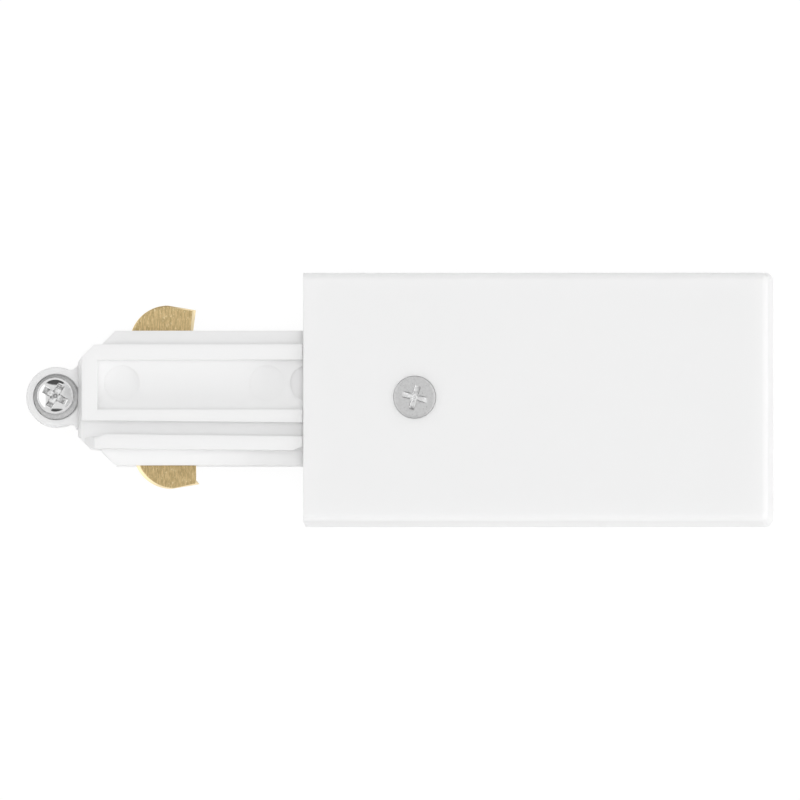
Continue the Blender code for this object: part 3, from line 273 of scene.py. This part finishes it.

# %% [markdown]
# The contacts and the earth strap are cut from rolled brass, so the grain runs one way and the colour
# wanders a little between olive and gold, with pale flecks. The sheared edge of a contact's tongue is
# painted pale cream, a painted highlight for the light that its round catches. It is found by its face,
# which looks neither up nor down, and by its height.

# %% Rolled brass
OLIVE, GOLD = (0.51, 0.375, 0.175), (0.85, 0.65, 0.34)
# The second colour on this line is the pale cream of the painted highlight on the sheared edges
FLECK, PAINTED_EDGE_HIGHLIGHT = (0.98, 0.84, 0.52), (1.0, 0.84, 0.54)
MILL_GRAIN, MILL_FLECKS = (6.0, 0.9, 6.0), (5.0, 2.5, 5.0)
TONGUE_LOW = 9.80 * MM


def tint(colour, level=1.0):
    return *(part * level for part in colour), 1.0


def sheared(tree):
    """1 on the sheared edge of a tongue and 0 on its flat faces and on what lies below the tongue."""
    up = part_of(tree, place_on(tree, "Normal"), "Z")
    height = part_of(tree, place_on(tree), "Z")
    return (1 - up.size().between(0.86, 0.97)) * height.between(TONGUE_LOW, TONGUE_LOW + 0.05 * MM)


def rolled_brass(name, turn, level=1.0):
    """Brass with the grain of the rolling mill. The turn says which way the strip ran."""
    def streak(tree):
        return noise(tree, MILL_GRAIN, detail=4.0, roughness=0.75, turn=turn)

    def colour(tree):
        worn = mix(tree, streak(tree).between(0.33, 0.67), tint(OLIVE, level), tint(GOLD, level))
        flecks = noise(tree, MILL_FLECKS, detail=2.0, roughness=0.6, turn=turn).between(0.60, 0.72)
        rolled = mix(tree, flecks * 0.8, worn, tint(FLECK, level))
        # The sheared edge gets the pale cream of a painted highlight
        return mix(tree, sheared(tree), rolled, tint(PAINTED_EDGE_HIGHLIGHT))

    def shine(tree):
        return streak(tree) * 0.22 + 0.24

    return finish(name, colour, shine, streak, depth=0.008 * MM, Metallic=1.0)


LIVE_BRASS = rolled_brass("live brass", turn=0)
NEUTRAL_BRASS = rolled_brass("neutral brass", turn=3, level=0.93)
STRAP_BRASS = rolled_brass("strap brass", turn=90)
print("brasses: 3")

# %% [markdown]
# The lock screw is bright plated. The other screws and the cages are zinc plated, which is greyer and
# softer, with small crystals. The washer is dull. Inside a cross recess the colour is painted in dark and
# bright patches, a painted shade and painted reflections, over a small ripple in the surface. A point
# belongs to the recess if it lies under the dome of its head, so the finish is told where the two heads
# that show are and how they are domed.

# %% Plated metals
LOCK_PLACE = Vector((-66.47, 0.38)) * MM
COVER_SCREW_PLACE = Vector((-16.85, 0.0)) * MM
LOCK_HEAD = {"place": LOCK_PLACE, "head": 2.5 * MM, "dome": 0.42 * MM, "brim": (0.24 * MM, 0)}
COVER_HEAD = {"place": COVER_SCREW_PLACE, "head": 2.90 * MM, "dome": 0.03 * MM,
              "brim": (0.30 * MM, 0.09 * MM)}


def under_dome(tree, node, place, head, dome, brim):
    """0 on a domed head and 1 inside its recess, from how far a point lies under the dome."""
    width, drop = brim
    crown = head - width
    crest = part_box(node)[1].z - max(dome, drop) + dome
    x, y, z = (part_of(tree, place_on(tree), axis) for axis in "XYZ")
    across, along = x - place[0], y - place[1]
    reach = (across * across + along * along) * (1 / crown ** 2)
    under = crest - reach * dome - z
    return under.between(0.04 * MM, 0.10 * MM) * (1 - reach.between(0.72, 0.76))


def plated(name, level, gloss, spread, grain, depth, warmth=0.0, metal=1.0, recess=None):
    """A plated metal with fine crystals that shift its tone and its gloss. A dull coat is part metal.

    A recess names its node and its head, how dark its painted shade and how bright its painted reflections
    are, and how deep its patches ripple.
    """
    def crystals(tree):
        return noise(tree, grain, detail=3.0, roughness=0.7)

    def patches(tree):
        return noise(tree, 1.5).between(0.38, 0.62)

    def inside(tree):
        return under_dome(tree, recess["node"], **recess["head"])

    def colour(tree):
        dark, pale = grey(level * 0.93, warmth), grey(level * 1.05, warmth)
        plain = mix(tree, crystals(tree).between(0.3, 0.7), dark, pale)
        if not recess:
            return plain
        # Inside the recess the colour is painted shade and painted reflections, in dark and bright patches
        painted_recess_light = mix(tree, patches(tree), grey(recess["dark"]), grey(recess["bright"]))
        return mix(tree, inside(tree), plain, painted_recess_light)

    def shine(tree):
        return crystals(tree) * spread + gloss

    def relief(tree):
        if not recess:
            return crystals(tree)
        return crystals(tree) + patches(tree) * inside(tree) * (recess["ripple"] / depth)

    return finish(name, colour, shine, relief, depth, Metallic=metal)


# In each recess, dark is the level of the painted shade and bright that of the painted reflections
BRIGHT = plated("bright plate", level=0.90, gloss=0.05, spread=0.04, grain=2.0, depth=0.0005 * MM,
                recess={"node": "lock_screw", "head": LOCK_HEAD, "dark": 0.60, "bright": 1.0,
                        "ripple": 0.02 * MM})
COVER_ZINC = plated("cover screw zinc", level=0.70, gloss=0.22, spread=0.16, grain=3.0, depth=0.010 * MM,
                    recess={"node": "cover_screw", "head": COVER_HEAD, "dark": 0.74, "bright": 1.0,
                            "ripple": 0.03 * MM})
ZINC = plated("zinc plate", level=0.72, gloss=0.22, spread=0.16, grain=3.0, depth=0.010 * MM)
CAGE_ZINC = plated("cage zinc", level=0.62, gloss=0.26, spread=0.18, grain=2.0, depth=0.012 * MM,
                   warmth=0.02)
DULL = plated("dull plate", level=0.95, gloss=0.40, spread=0.15, grain=3.0, depth=0.012 * MM, metal=0.15)
print("plated metals: 5")

# %% [markdown]
# A moulded part has no knife edges: the tool's corners are a little round, and that thin round is what
# catches the light. The model's solids are true to size but sharp, so each is copied, its loose
# triangles are merged into whole faces, and its edges are broken with a small bevel.

# %% Dressing a node of the model
MERGE_WITHIN = 0.001 * MM
FLAT_WITHIN, BEVEL_FROM, SMOOTH_UP_TO = (math.radians(angle) for angle in (0.6, 28.0, 32.0))


def smooth(piece):
    """Round faces shade smoothly and flat ones stay flat."""
    work_on(piece)
    bpy.ops.object.shade_smooth_by_angle(angle=SMOOTH_UP_TO)
    apply(piece, "WEIGHTED_NORMAL", keep_sharp=True)


def dress(node, name, material, edge, segments=2, fit=None):
    """Copy a node with whole faces and broken edges. A fit moves some of its vertices first."""
    mesh = frame["nodes"][node].data.copy()
    piece = bpy.data.objects.new(name, mesh)
    bpy.context.scene.collection.objects.link(piece)
    edit(piece)
    bpy.ops.mesh.select_all(action="SELECT")
    bpy.ops.mesh.remove_doubles(threshold=MERGE_WITHIN)
    bpy.ops.mesh.dissolve_limited(angle_limit=FLAT_WITHIN)
    leave()
    if fit:
        fit(piece)
    apply(piece, "BEVEL", width=edge, segments=segments, limit_method="ANGLE", angle_limit=BEVEL_FROM,
          miter_outer="MITER_ARC", harden_normals=False)
    smooth(piece)
    seat(piece, material, node)


def move(piece, note, test, by):
    """Move the vertices that the test picks."""
    edit(piece)
    count = pick(piece, "VERT", test)
    bpy.ops.transform.translate(value=by)
    leave()
    print(piece.name, note, "moved:", count)


def near(value, place, room=0.03):
    """Whether a coordinate lies near a place, which is in millimetres as its room is."""
    return abs(value / MM - place) < room


# %% [markdown]
# The model keeps 0.3 mm between any two pieces. Real mouldings that are screwed together meet in a
# fine line, and a flush screw nearly fills its seat. So the tray rises to the plug's face and its lug
# reaches the nose, the ribs reach the housing, and the seat in the cover closes round the screw's head.

# %% Closing the joints between mouldings
JOINT_CLOSES = 0.24 * MM
PARTING_Z = 9.59
NECK_X, NECK_LOW, NECK_MIDDLE_Y, NECK_HALF, MOUTH_HALF = -63.64, 7.8, 0.2, 4.5, 2.0
NECK_REACH, MOUTH_SHARE = 0.50 * MM, 0.55
RIB_END_X, RIB_END_ROOM, RIB_LOW = -32.64, 0.22, 15.5
SEAT_RADIUS, CLOSED_RADIUS = 3.05, 2.93


def on_neck(v, half):
    """Whether a vertex is on the end of the lug's neck, within half its width of the middle."""
    return near(v.co.x, NECK_X) and near(v.co.y, NECK_MIDDLE_Y, half) and v.co.z > NECK_LOW * MM


def close_tray(piece):
    """Raise the tray, narrow the mouth of the washer's seat in the neck and bring the neck to the nose."""
    move(piece, "parting face", lambda v: near(v.co.z, PARTING_Z), (0, 0, JOINT_CLOSES))
    edit(piece)
    count = pick(piece, "VERT", lambda v: on_neck(v, MOUTH_HALF))
    bpy.ops.transform.resize(value=(1, MOUTH_SHARE, 1), center_override=(0, NECK_MIDDLE_Y * MM, 0))
    leave()
    print(piece.name, "mouth vertices narrowed:", count)
    move(piece, "lug neck", lambda v: on_neck(v, NECK_HALF), (NECK_REACH, 0, 0))


def close_ribs(piece):
    """Bring the ends of the ribs to the housing."""
    move(piece, "rib ends", lambda v: near(v.co.x, RIB_END_X, RIB_END_ROOM) and v.co.z > RIB_LOW * MM,
         (JOINT_CLOSES, 0, 0))


def close_seat(piece):
    """Close the seat in the cover round the head of its screw."""
    edit(piece)
    count = pick(piece, "VERT", lambda v: near((v.co.xy - COVER_SCREW_PLACE).length, SEAT_RADIUS))
    share = CLOSED_RADIUS / SEAT_RADIUS
    bpy.ops.transform.resize(value=(share, share, 1), center_override=(*COVER_SCREW_PLACE, 0))
    leave()
    print(piece.name, "seat vertices moved:", count)


# %% [markdown]
# The mouldings follow. The face of the plug has the roundest edges, because it is what slides along
# the inside of the track. The earth strap is stamped, with a finer edge.

# %% The mouldings and the strap
dress("housing_cover", "cover", COVER_WHITE, edge=0.08 * MM, fit=close_seat)
dress("housing_base", "base_plate", BASE_WHITE, edge=0.10 * MM)
dress("plug_front", "plug_face", PLUG_WHITE, edge=0.14 * MM, segments=3, fit=close_ribs)
dress("plug_back", "plug_tray", PLUG_WHITE, edge=0.10 * MM, fit=close_tray)
dress("terminal_block", "terminal_housing", BLOCK_WHITE, edge=0.10 * MM)
dress("cord_clamp", "clamp_bar", CLAMP_WHITE, edge=0.10 * MM)
dress("earth_strap", "earth_strip", STRAP_BRASS, edge=0.08 * MM)

# %% [markdown]
# A punched contact has one rolled edge and one torn edge. On its back edge, and on the neutral
# contact's lead-in, the punch has left a wide sloping edge that catches the light. The solid has a
# narrow round there, so its top row of vertices moves in and the rows below it move down.

# %% The contacts
TONGUE_TOP = 10.5
CREST_X = {"live": -50.95, "neutral": -50.45}
CREST_TO_BACK, BACK_ROOM, LEAD_IN_Y = 3.85, 0.8, 7.6
BACK_EDGE = ((-0.34, 0), 0.22)
LEAD_IN = {"live": ((0.10, -0.12), 0.0), "neutral": ((0.42, 0.0), 0.22)}


def widen(piece, note, where, inward, down):
    """Widen the round of an edge: its top row goes in and its lower rows go down."""
    move(piece, note + " top row", lambda v: near(v.co.z, TONGUE_TOP, 0.01) and where(v),
         (inward[0] * MM, inward[1] * MM, 0))
    move(piece, note + " lower rows", lambda v: near(v.co.z, TONGUE_TOP - 0.09, 0.07) and where(v),
         (0, 0, -down * MM))


def punch(side):
    """The fit of one side's contact: its back edge and its lead-in are widened."""
    behind = CREST_X[side] * MM + CREST_TO_BACK * MM - BACK_ROOM * MM

    def fit(piece):
        widen(piece, "back edge", lambda v: v.co.x > behind, *BACK_EDGE)
        widen(piece, "lead-in", lambda v: abs(v.co.y) > LEAD_IN_Y * MM and v.co.x < behind, *LEAD_IN[side])
    return fit


for side, brass in (("live", LIVE_BRASS), ("neutral", NEUTRAL_BRASS)):
    dress(side + "_contact", side + "_spring", brass, edge=0.03 * MM, segments=1,
          fit=punch(side))

# %% [markdown]
# A terminal's cage is a short square tube of thick zinc plated steel. The three are alike.

# %% The terminal cages
for terminal in ("live", "neutral", "earth"):
    dress(terminal + "_cage", terminal + "_clamp", CAGE_ZINC, edge=0.08 * MM)

# %% [markdown]
# A screw is turned and rolled: a domed head with a rounded rim, a cross recess that narrows as it goes
# down, and a thread of its own pitch. The head and shank grow from one cylinder by insets and
# extrusions, as a lathe would leave them: the dome rises ring by ring, and the shank grows out of the
# underside.

# %% The head and shank
SIDES = 72
DOME_RINGS = 7
TIP_HEIGHT, TIP_SHARE = 0.6, 0.45


def faces_up(face):
    return face.normal.z > 0.9


def faces_down(face):
    return face.normal.z < -0.9


def screw_blank(name, place, low, head, head_low, head_top, shank, rim, dome, brim):
    """A screw without its recess and thread, grown from one cylinder. A brim has a width and a drop."""
    x, y = place
    width, drop = brim
    crown = head - width
    edge_top = head_top - max(dome, drop) + drop
    deselect()
    bpy.ops.mesh.primitive_cylinder_add(vertices=SIDES, radius=head, depth=edge_top - head_low,
                                        location=(x, y, (edge_top + head_low) / 2))
    blank = bpy.context.object
    blank.name = name
    bpy.ops.object.transform_apply(location=True)
    edit(blank)

    # The brim lies flat or slopes in, and inside it the dome rises in rings towards the middle
    def height(radius):
        return dome * (1 - (radius / crown) ** 2)

    pick(blank, "FACE", faces_up)
    if width:
        bpy.ops.mesh.inset(thickness=width)
        bpy.ops.transform.translate(value=(0, 0, -drop))
    radius = crown
    for ring in range(DOME_RINGS):
        step = (crown - rim) / DOME_RINGS if ring else rim
        bpy.ops.mesh.inset(thickness=step)
        bpy.ops.transform.translate(value=(0, 0, height(radius - step) - height(radius)))
        radius -= step

    # The rim is rounded
    pick(blank, "EDGE", lambda e: all(abs(math.hypot(v.co.x - x, v.co.y - y) - head) < 0.01 * MM
                                      and abs(v.co.z - edge_top) < 0.01 * MM for v in e.verts))
    bpy.ops.mesh.bevel(offset=0.05 * MM if width else rim * 0.9, segments=4, profile=0.5)

    # The shank grows out of the underside and ends in a short point
    pick(blank, "FACE", faces_down)
    bpy.ops.mesh.inset(thickness=head - shank)
    point = shank * TIP_HEIGHT
    bpy.ops.mesh.extrude_region_move(TRANSFORM_OT_translate={"value": (0, 0, low + point - head_low)})
    bpy.ops.mesh.extrude_region_move(TRANSFORM_OT_translate={"value": (0, 0, -point)})
    bpy.ops.transform.resize(value=(TIP_SHARE, TIP_SHARE, 1), center_override=(x, y, low))
    leave()
    return blank


# %% [markdown]
# The cross recess is cut by three shapes, as its punch has them: two crossing bars whose floors are
# narrower and shorter than their tops, and a cone in the middle. Each bar is a cube with its lower
# face scaled down. It stands above the head by half the recess's depth, so that it cuts right through.

# %% The cross recess
ABOVE, TOP_WIDTH, FLOOR_WIDTH = 0.5, 1.06, 0.5
CONE_FOOT, CONE_MOUTH, CONE_LENGTH, CONE_MIDDLE = 0.12, 0.95, 1.7, 0.55
LIP_REACH, LIP_DEPTH, LIP_WIDTH, LIP_ANGLE = 1.06, 0.6, 0.08, math.radians(25)


def take_away(piece, cutter):
    """Cut one shape out of a piece and remove it."""
    apply(piece, "BOOLEAN", operation="DIFFERENCE", solver="EXACT", object=cutter)
    bpy.data.objects.remove(cutter, do_unlink=True)


def cut_recess(screw, place, top, reach, arm, depth, run, turn, sink):
    """Cut two crossing arms and a cone into the head. The ends of the arms run in as they go down."""
    x, y = place
    rise = depth * ABOVE
    long = reach + run * (rise + sink) / depth
    for quarter in (0, 90):
        deselect()
        bpy.ops.mesh.primitive_cube_add(size=1, location=(x, y, top + (rise - depth) / 2),
                                        scale=(2 * long, arm * TOP_WIDTH, rise + depth))
        cutter = bpy.context.object
        bpy.ops.object.transform_apply(location=True, rotation=True, scale=True)
        edit(cutter)
        pick(cutter, "FACE", faces_down)
        bpy.ops.transform.resize(value=((reach - run) / long, FLOOR_WIDTH, 1),
                                 center_override=(x, y, top - depth))
        bpy.ops.mesh.select_all(action="SELECT")
        bpy.ops.transform.rotate(value=-math.radians(turn + quarter), orient_axis="Z",
                                 center_override=(x, y, top))
        leave()
        take_away(screw, cutter)
    deselect()
    bpy.ops.mesh.primitive_cone_add(vertices=24, radius1=arm * CONE_FOOT, radius2=arm * CONE_MOUTH,
                                    depth=depth * CONE_LENGTH, location=(x, y, top - depth * CONE_MIDDLE))
    take_away(screw, bpy.context.object)

    # The punch leaves a bright turned edge where the recess meets the head
    def on_lip(e):
        return (len(e.link_faces) == 2 and e.calc_face_angle() > LIP_ANGLE
                and max((v.co.xy - Vector(place)).length for v in e.verts) < reach * LIP_REACH
                and min(v.co.z for v in e.verts) > top - depth * LIP_DEPTH)

    edit(screw)
    edges = pick(screw, "EDGE", on_lip)
    bpy.ops.mesh.bevel(offset=arm * LIP_WIDTH, segments=2)
    leave()
    print(screw.name, "recess edges:", edges)


# %% [markdown]
# The thread is a small triangle that the Screw modifier winds round the shank. Its point reaches the
# full radius and its base lies inside the core, so that the ridge and the shank cross and no gap shows.

# %% The thread
THREAD_STEPS = 28
TRIANGLE, TRIANGLE_OUT = 0.75, 0.25


def wind_thread(screw, place, low, high, core, crest, pitch):
    """Wind a small triangle round the shank and join it to the screw."""
    x, y = place
    tall = crest - core
    deselect()
    bpy.ops.mesh.primitive_circle_add(vertices=3, radius=tall * TRIANGLE, location=(x, y, low))
    ridge = bpy.context.object
    edit(ridge)
    bpy.ops.mesh.select_all(action="SELECT")
    for axis in ("X", "Y"):
        bpy.ops.transform.rotate(value=math.radians(90), orient_axis=axis, center_override=(x, y, low))
    bpy.ops.transform.translate(value=(core + tall * TRIANGLE_OUT, 0, 0))
    leave()
    turns = int((high - low) / pitch)
    apply(ridge, "SCREW", angle=math.tau, screw_offset=pitch, iterations=turns, steps=THREAD_STEPS,
          render_steps=THREAD_STEPS, use_merge_vertices=False)

    # Both ends of the ridge are closed, and it becomes part of the screw
    edit(ridge)
    bpy.ops.mesh.select_all(action="SELECT")
    bpy.ops.mesh.remove_doubles(threshold=MERGE_WITHIN)
    bpy.ops.mesh.fill_holes(sides=4)
    bpy.ops.mesh.select_all(action="SELECT")
    bpy.ops.mesh.normals_make_consistent(inside=False)
    leave()
    work_on(ridge)
    bpy.ops.object.transform_apply(location=True, rotation=True, scale=True)
    work_on(screw)
    ridge.select_set(True)
    bpy.ops.object.join()
    print(screw.name, "turns of thread:", turns)


# %% [markdown]
# Nine screws in five sizes. Each stands in the space of its node, from whose box it takes its top and
# its tip. The lock screw's pitch of 0.45 mm and the terminals' 0.5 mm are those that the joints use.
# The screws that bite into plastic have a coarse thread.

# %% One screw
CORE_SHARE = 0.78


def make_screw(node, place, head, head_height, shank, pitch, turn, dome, reach=0.70, arm=0.32, deep=0.42,
               run=0.55, metal=ZINC, slot="zinc_screw", rim=0.12 * MM, brim=(0, 0)):
    """One screw. Reach and arm are shares of the head's radius, deep of its height, run of the reach."""
    lowest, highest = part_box(node)
    core = shank * CORE_SHARE
    head_low = highest.z - head_height
    screw = screw_blank(node + "_part", place, lowest.z, head, head_low, highest.z, core, rim, dome, brim)
    cut_recess(screw, place, highest.z, head * reach, head * arm, head_height * deep, head * reach * run,
               turn, dome * reach ** 2)
    smooth(screw)
    wind_thread(screw, place, lowest.z + shank * 0.7, head_low - 0.3 * MM, core * 0.98, shank, pitch)
    seat(screw, metal, node)


# %% The nine screws
make_screw("lock_screw", **LOCK_HEAD, head_height=1.7 * MM, shank=1.25 * MM, pitch=0.45 * MM, turn=60,
           reach=0.76, arm=0.40, deep=0.80, run=0.45, metal=BRIGHT, slot="bright_screw", rim=0.1 * MM)
make_screw("cover_screw", **COVER_HEAD, head_height=1.8 * MM, shank=1.5 * MM, pitch=1.1 * MM, turn=75,
           reach=0.69, arm=0.29, deep=0.24, run=0.66, metal=COVER_ZINC, rim=0.10 * MM)

TERMINAL_X, TERMINAL_PITCH = -5.8 * MM, 8.9 * MM
TERMINAL_SCREW = {"head": 1.8 * MM, "head_height": 1.5 * MM, "shank": 1.3 * MM, "pitch": 0.5 * MM,
                  "dome": 0.2 * MM}
for row, terminal in ((1, "live"), (0, "earth"), (-1, "neutral")):
    make_screw(terminal + "_terminal_screw", (TERMINAL_X, TERMINAL_PITCH * row), turn=20 + 30 * row,
               **TERMINAL_SCREW)

CLAMP_X, CLAMP_Y = 12.4 * MM, 8.6 * MM
CLAMP_SCREW = {"head": 2.3 * MM, "head_height": 1.5 * MM, "shank": 1.25 * MM, "pitch": 1.0 * MM,
               "dome": 0.3 * MM}
EAR_X, EAR_Y = -24.0 * MM, 12.0 * MM
PLUG_SCREW = {"head": 2.4 * MM, "head_height": 1.6 * MM, "shank": 1.3 * MM, "pitch": 1.1 * MM,
              "dome": 0.3 * MM}
for number, side in ((1, 1), (2, -1)):
    make_screw("clamp_screw_%d" % number, (CLAMP_X, CLAMP_Y * side), turn=15 * number, **CLAMP_SCREW)
    make_screw("plug_screw_%d" % number, (EAR_X, EAR_Y * side), turn=35 * number, **PLUG_SCREW)

# %% [markdown]
# The washer under the lock screw is a pressed ring, dished so that its outer edge stands higher or
# lower than its hole. The punch has rolled its edges over, so it is modelled as a small section with
# round corners that is spun about the screw's axis.

# %% The lock washer
WASHER_PLACE = Vector((-66.41, 0.2)) * MM


def make_washer(place, inner, outer, low, high, dish):
    """A ring that is spun from its section, which is drawn flat and then stood up."""
    x, y = place
    deselect()
    bpy.ops.mesh.primitive_plane_add(size=1, location=(x, y, 0))
    ring = bpy.context.object
    ring.name = "washer_ring"
    edit(ring)
    bpy.ops.mesh.select_all(action="SELECT")
    bpy.ops.mesh.subdivide(number_cuts=1)
    bpy.ops.transform.resize(value=(outer - inner, high - low, 1))

    # The outer side of the section moves by the dish, and its four corners are rounded
    pick(ring, "VERT", lambda v: v.co.x > x + 0.1 * MM)
    bpy.ops.transform.translate(value=(0, dish, 0))
    pick(ring, "VERT", lambda v: len(v.link_edges) == 2)
    bpy.ops.mesh.bevel(offset=0.08 * MM, segments=3, affect="VERTICES")
    bpy.ops.mesh.select_all(action="SELECT")
    bpy.ops.transform.rotate(value=math.radians(90), orient_axis="X", center_override=(x, y, 0))
    bpy.ops.transform.translate(value=((inner + outer) / 2, 0, (low + high) / 2))
    bpy.ops.mesh.delete(type="ONLY_FACE")
    leave()
    apply(ring, "SCREW", angle=math.tau, screw_offset=0, iterations=1, steps=SIDES, render_steps=SIDES,
          use_merge_vertices=True, merge_threshold=0.01 * MM)
    edit(ring)
    bpy.ops.mesh.select_all(action="SELECT")
    bpy.ops.mesh.remove_doubles(threshold=MERGE_WITHIN)
    bpy.ops.mesh.normals_make_consistent(inside=False)
    leave()
    smooth(ring)
    seat(ring, DULL, "lock_washer")


make_washer(WASHER_PLACE, inner=1.55 * MM, outer=3.06 * MM, low=8.2 * MM, high=9.0 * MM, dish=0.7 * MM)

# %% [markdown]
# The studio has a white floor, an even white surround, a soft lamp overhead and one low on the right.
# The floor is white paper. It keeps the part's shadow, and part of it glows for the camera and in
# reflections, so that the ground is white without more light on the part.

# %% The floor
FLOOR_SIZE, FLOOR_Z = 3.0, -0.05 * MM
PAPER_WHITE, GLOW_SHARE, GLOW_STRENGTH = 0.92, 0.90, 1.04

deselect()
bpy.ops.mesh.primitive_plane_add(size=FLOOR_SIZE, location=(0, 0, FLOOR_Z))
floor = bpy.context.object
floor.name = "studio_floor"
paper = bpy.data.materials.new("studio paper")
paper.use_nodes = True
tree = paper.node_tree
shader = tree.nodes["Principled BSDF"]
shader.inputs["Base Color"].default_value = grey(PAPER_WHITE)
shader.inputs["Roughness"].default_value = 0.9
camera_ray, glossy_ray, clear_ray = (add(tree, "ShaderNodeLightPath", output="Is %s Ray" % kind)
                                     for kind in ("Camera", "Glossy", "Transmission"))
share = (camera_ray + glossy_ray + clear_ray) * GLOW_SHARE
glow = add(tree, "ShaderNodeEmission", {}, {"Color": grey(1.0), "Strength": GLOW_STRENGTH})
blend = add(tree, "ShaderNodeMixShader", {}, {0: share, 1: Wire(tree, shader.outputs[0]), 2: glow})
tree.links.new(blend.socket, tree.nodes["Material Output"].inputs["Surface"])
floor.data.materials.append(paper)
floor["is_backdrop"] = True
print("floor:", floor.name)

# %% [markdown]
# What a mirror-bright screw shows is the surround. A plain white one would make it look like plastic,
# so reflections see a studio instead: bright cards at the two sides and a dark gap beyond each long
# side of the part. The camera sees plain white, and everything else gets an even fill.

# %% The surround
FILL = 0.60
PLAIN_CARD, SIDE_CARD, GAP_DARK, GAP_BEND = 0.80, 0.45, 0.9, 0.35

world = bpy.data.worlds.new("studio surround")
bpy.context.scene.world = world
world.use_nodes = True
tree = world.node_tree
way = place_on(tree, "Generated")
across, along = (part_of(tree, way, axis) for axis in "XY")
cards = across.size().between(0.40, 0.46) * SIDE_CARD + PLAIN_CARD
far_gap = (along - across * across * GAP_BEND).between(0.46, 0.50)
near_gap = (0 - along).between(0.50, 0.54) * across.between(-0.20, -0.15) * (1 - across.between(0.40, 0.46))
gaps = (far_gap + near_gap) * (1 - along.size().between(0.70, 0.76))
studio = cards * (1 - gaps * GAP_DARK)
camera_ray, glossy_ray = (add(tree, "ShaderNodeLightPath", output="Is %s Ray" % kind)
                          for kind in ("Camera", "Glossy"))
strength = glossy_ray * (studio - FILL) + FILL
strength = camera_ray * (1.0 - strength) + strength
tree.links.new(strength.socket, tree.nodes["Background"].inputs["Strength"])
tree.nodes["Background"].inputs["Color"].default_value = grey(1.0)
print("fill of the surround:", FILL)

# %% [markdown]
# The two lamps are wide and far, so their shadows are soft. A vector says where each stands and, by
# its length, how much light it puts on a face turned to it. The overhead lamp isn't seen in
# reflections, where it would burn out the flat heads of the screws.

# %% The lamps
LAMP_SIZE, LAMP_AWAY = 0.9, 2.0


def soft_lamp(name, light):
    """A round lamp, as bright as its vector is long, at the same distance as the others."""
    lamp = bpy.data.lights.new(name, "AREA")
    lamp.shape = "DISK"
    lamp.size = LAMP_SIZE
    lamp.energy = light.length * math.pi ** 2 * LAMP_AWAY ** 2
    holder = bpy.data.objects.new(name, lamp)
    bpy.context.scene.collection.objects.link(holder)
    holder.location = light.normalized() * LAMP_AWAY
    holder.rotation_euler = light.to_track_quat("Z", "Y").to_euler()
    print(name, "watts:", round(lamp.energy, 3))
    return holder


soft_lamp("side lamp", Vector((0.21, -0.13, 0.08)))
overhead = soft_lamp("overhead lamp", Vector((0.0, 0.0, 0.295)))
overhead.visible_glossy = False

# %% [markdown]
# The camera looks straight down, about a degree off square, and its picture has no perspective. Its
# scale is the size of one pixel of the photograph. The middle of the housing, which is the origin, is
# right of the middle of the picture, and the tilt moves it on by about a pixel.

# %% The camera
PHOTO_SIZE = 800
PIXEL = 0.13763 * MM
HOUSING_MIDDLE_PIXEL, TILT_PIXELS = 538.25, 1.09
TILT_ACROSS, TILT_ALONG = math.radians(1.0), math.radians(1.25)
CAMERA_AWAY = 1.0

camera = bpy.data.cameras.new("camera")
camera.type = "ORTHO"
camera.ortho_scale = PHOTO_SIZE * PIXEL
camera.clip_end = 10.0
eye = bpy.data.objects.new("camera", camera)
bpy.context.scene.collection.objects.link(eye)
target = Vector(((PHOTO_SIZE / 2 - HOUSING_MIDDLE_PIXEL - TILT_PIXELS) * PIXEL, 0, 0))
back = Vector((math.sin(TILT_ACROSS), -math.sin(TILT_ALONG), 1.0)).normalized()
eye.location = target + back * CAMERA_AWAY
right = Vector((0, 1, 0)).cross(back).normalized()
up = back.cross(right)
eye.matrix_world = Matrix.Translation(eye.location) @ Matrix((right, up, back)).transposed().to_4x4()
bpy.context.scene.camera = eye
bpy.context.scene.view_settings.view_transform = "Standard"
print("picture is", round(camera.ortho_scale / MM, 2), "mm wide")

# %% [markdown]
# The model's box and the dressed part's box are printed side by side. The dressed part has to stay
# inside the model's box.

# %% The finished box
dressed_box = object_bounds()
sizes = {"cad": [list(corner) for corner in cad_box], "dressed": [list(corner) for corner in dressed_box]}
print({name: [[round(value / MM, 2) for value in corner] for corner in box] for name, box in sizes.items()})
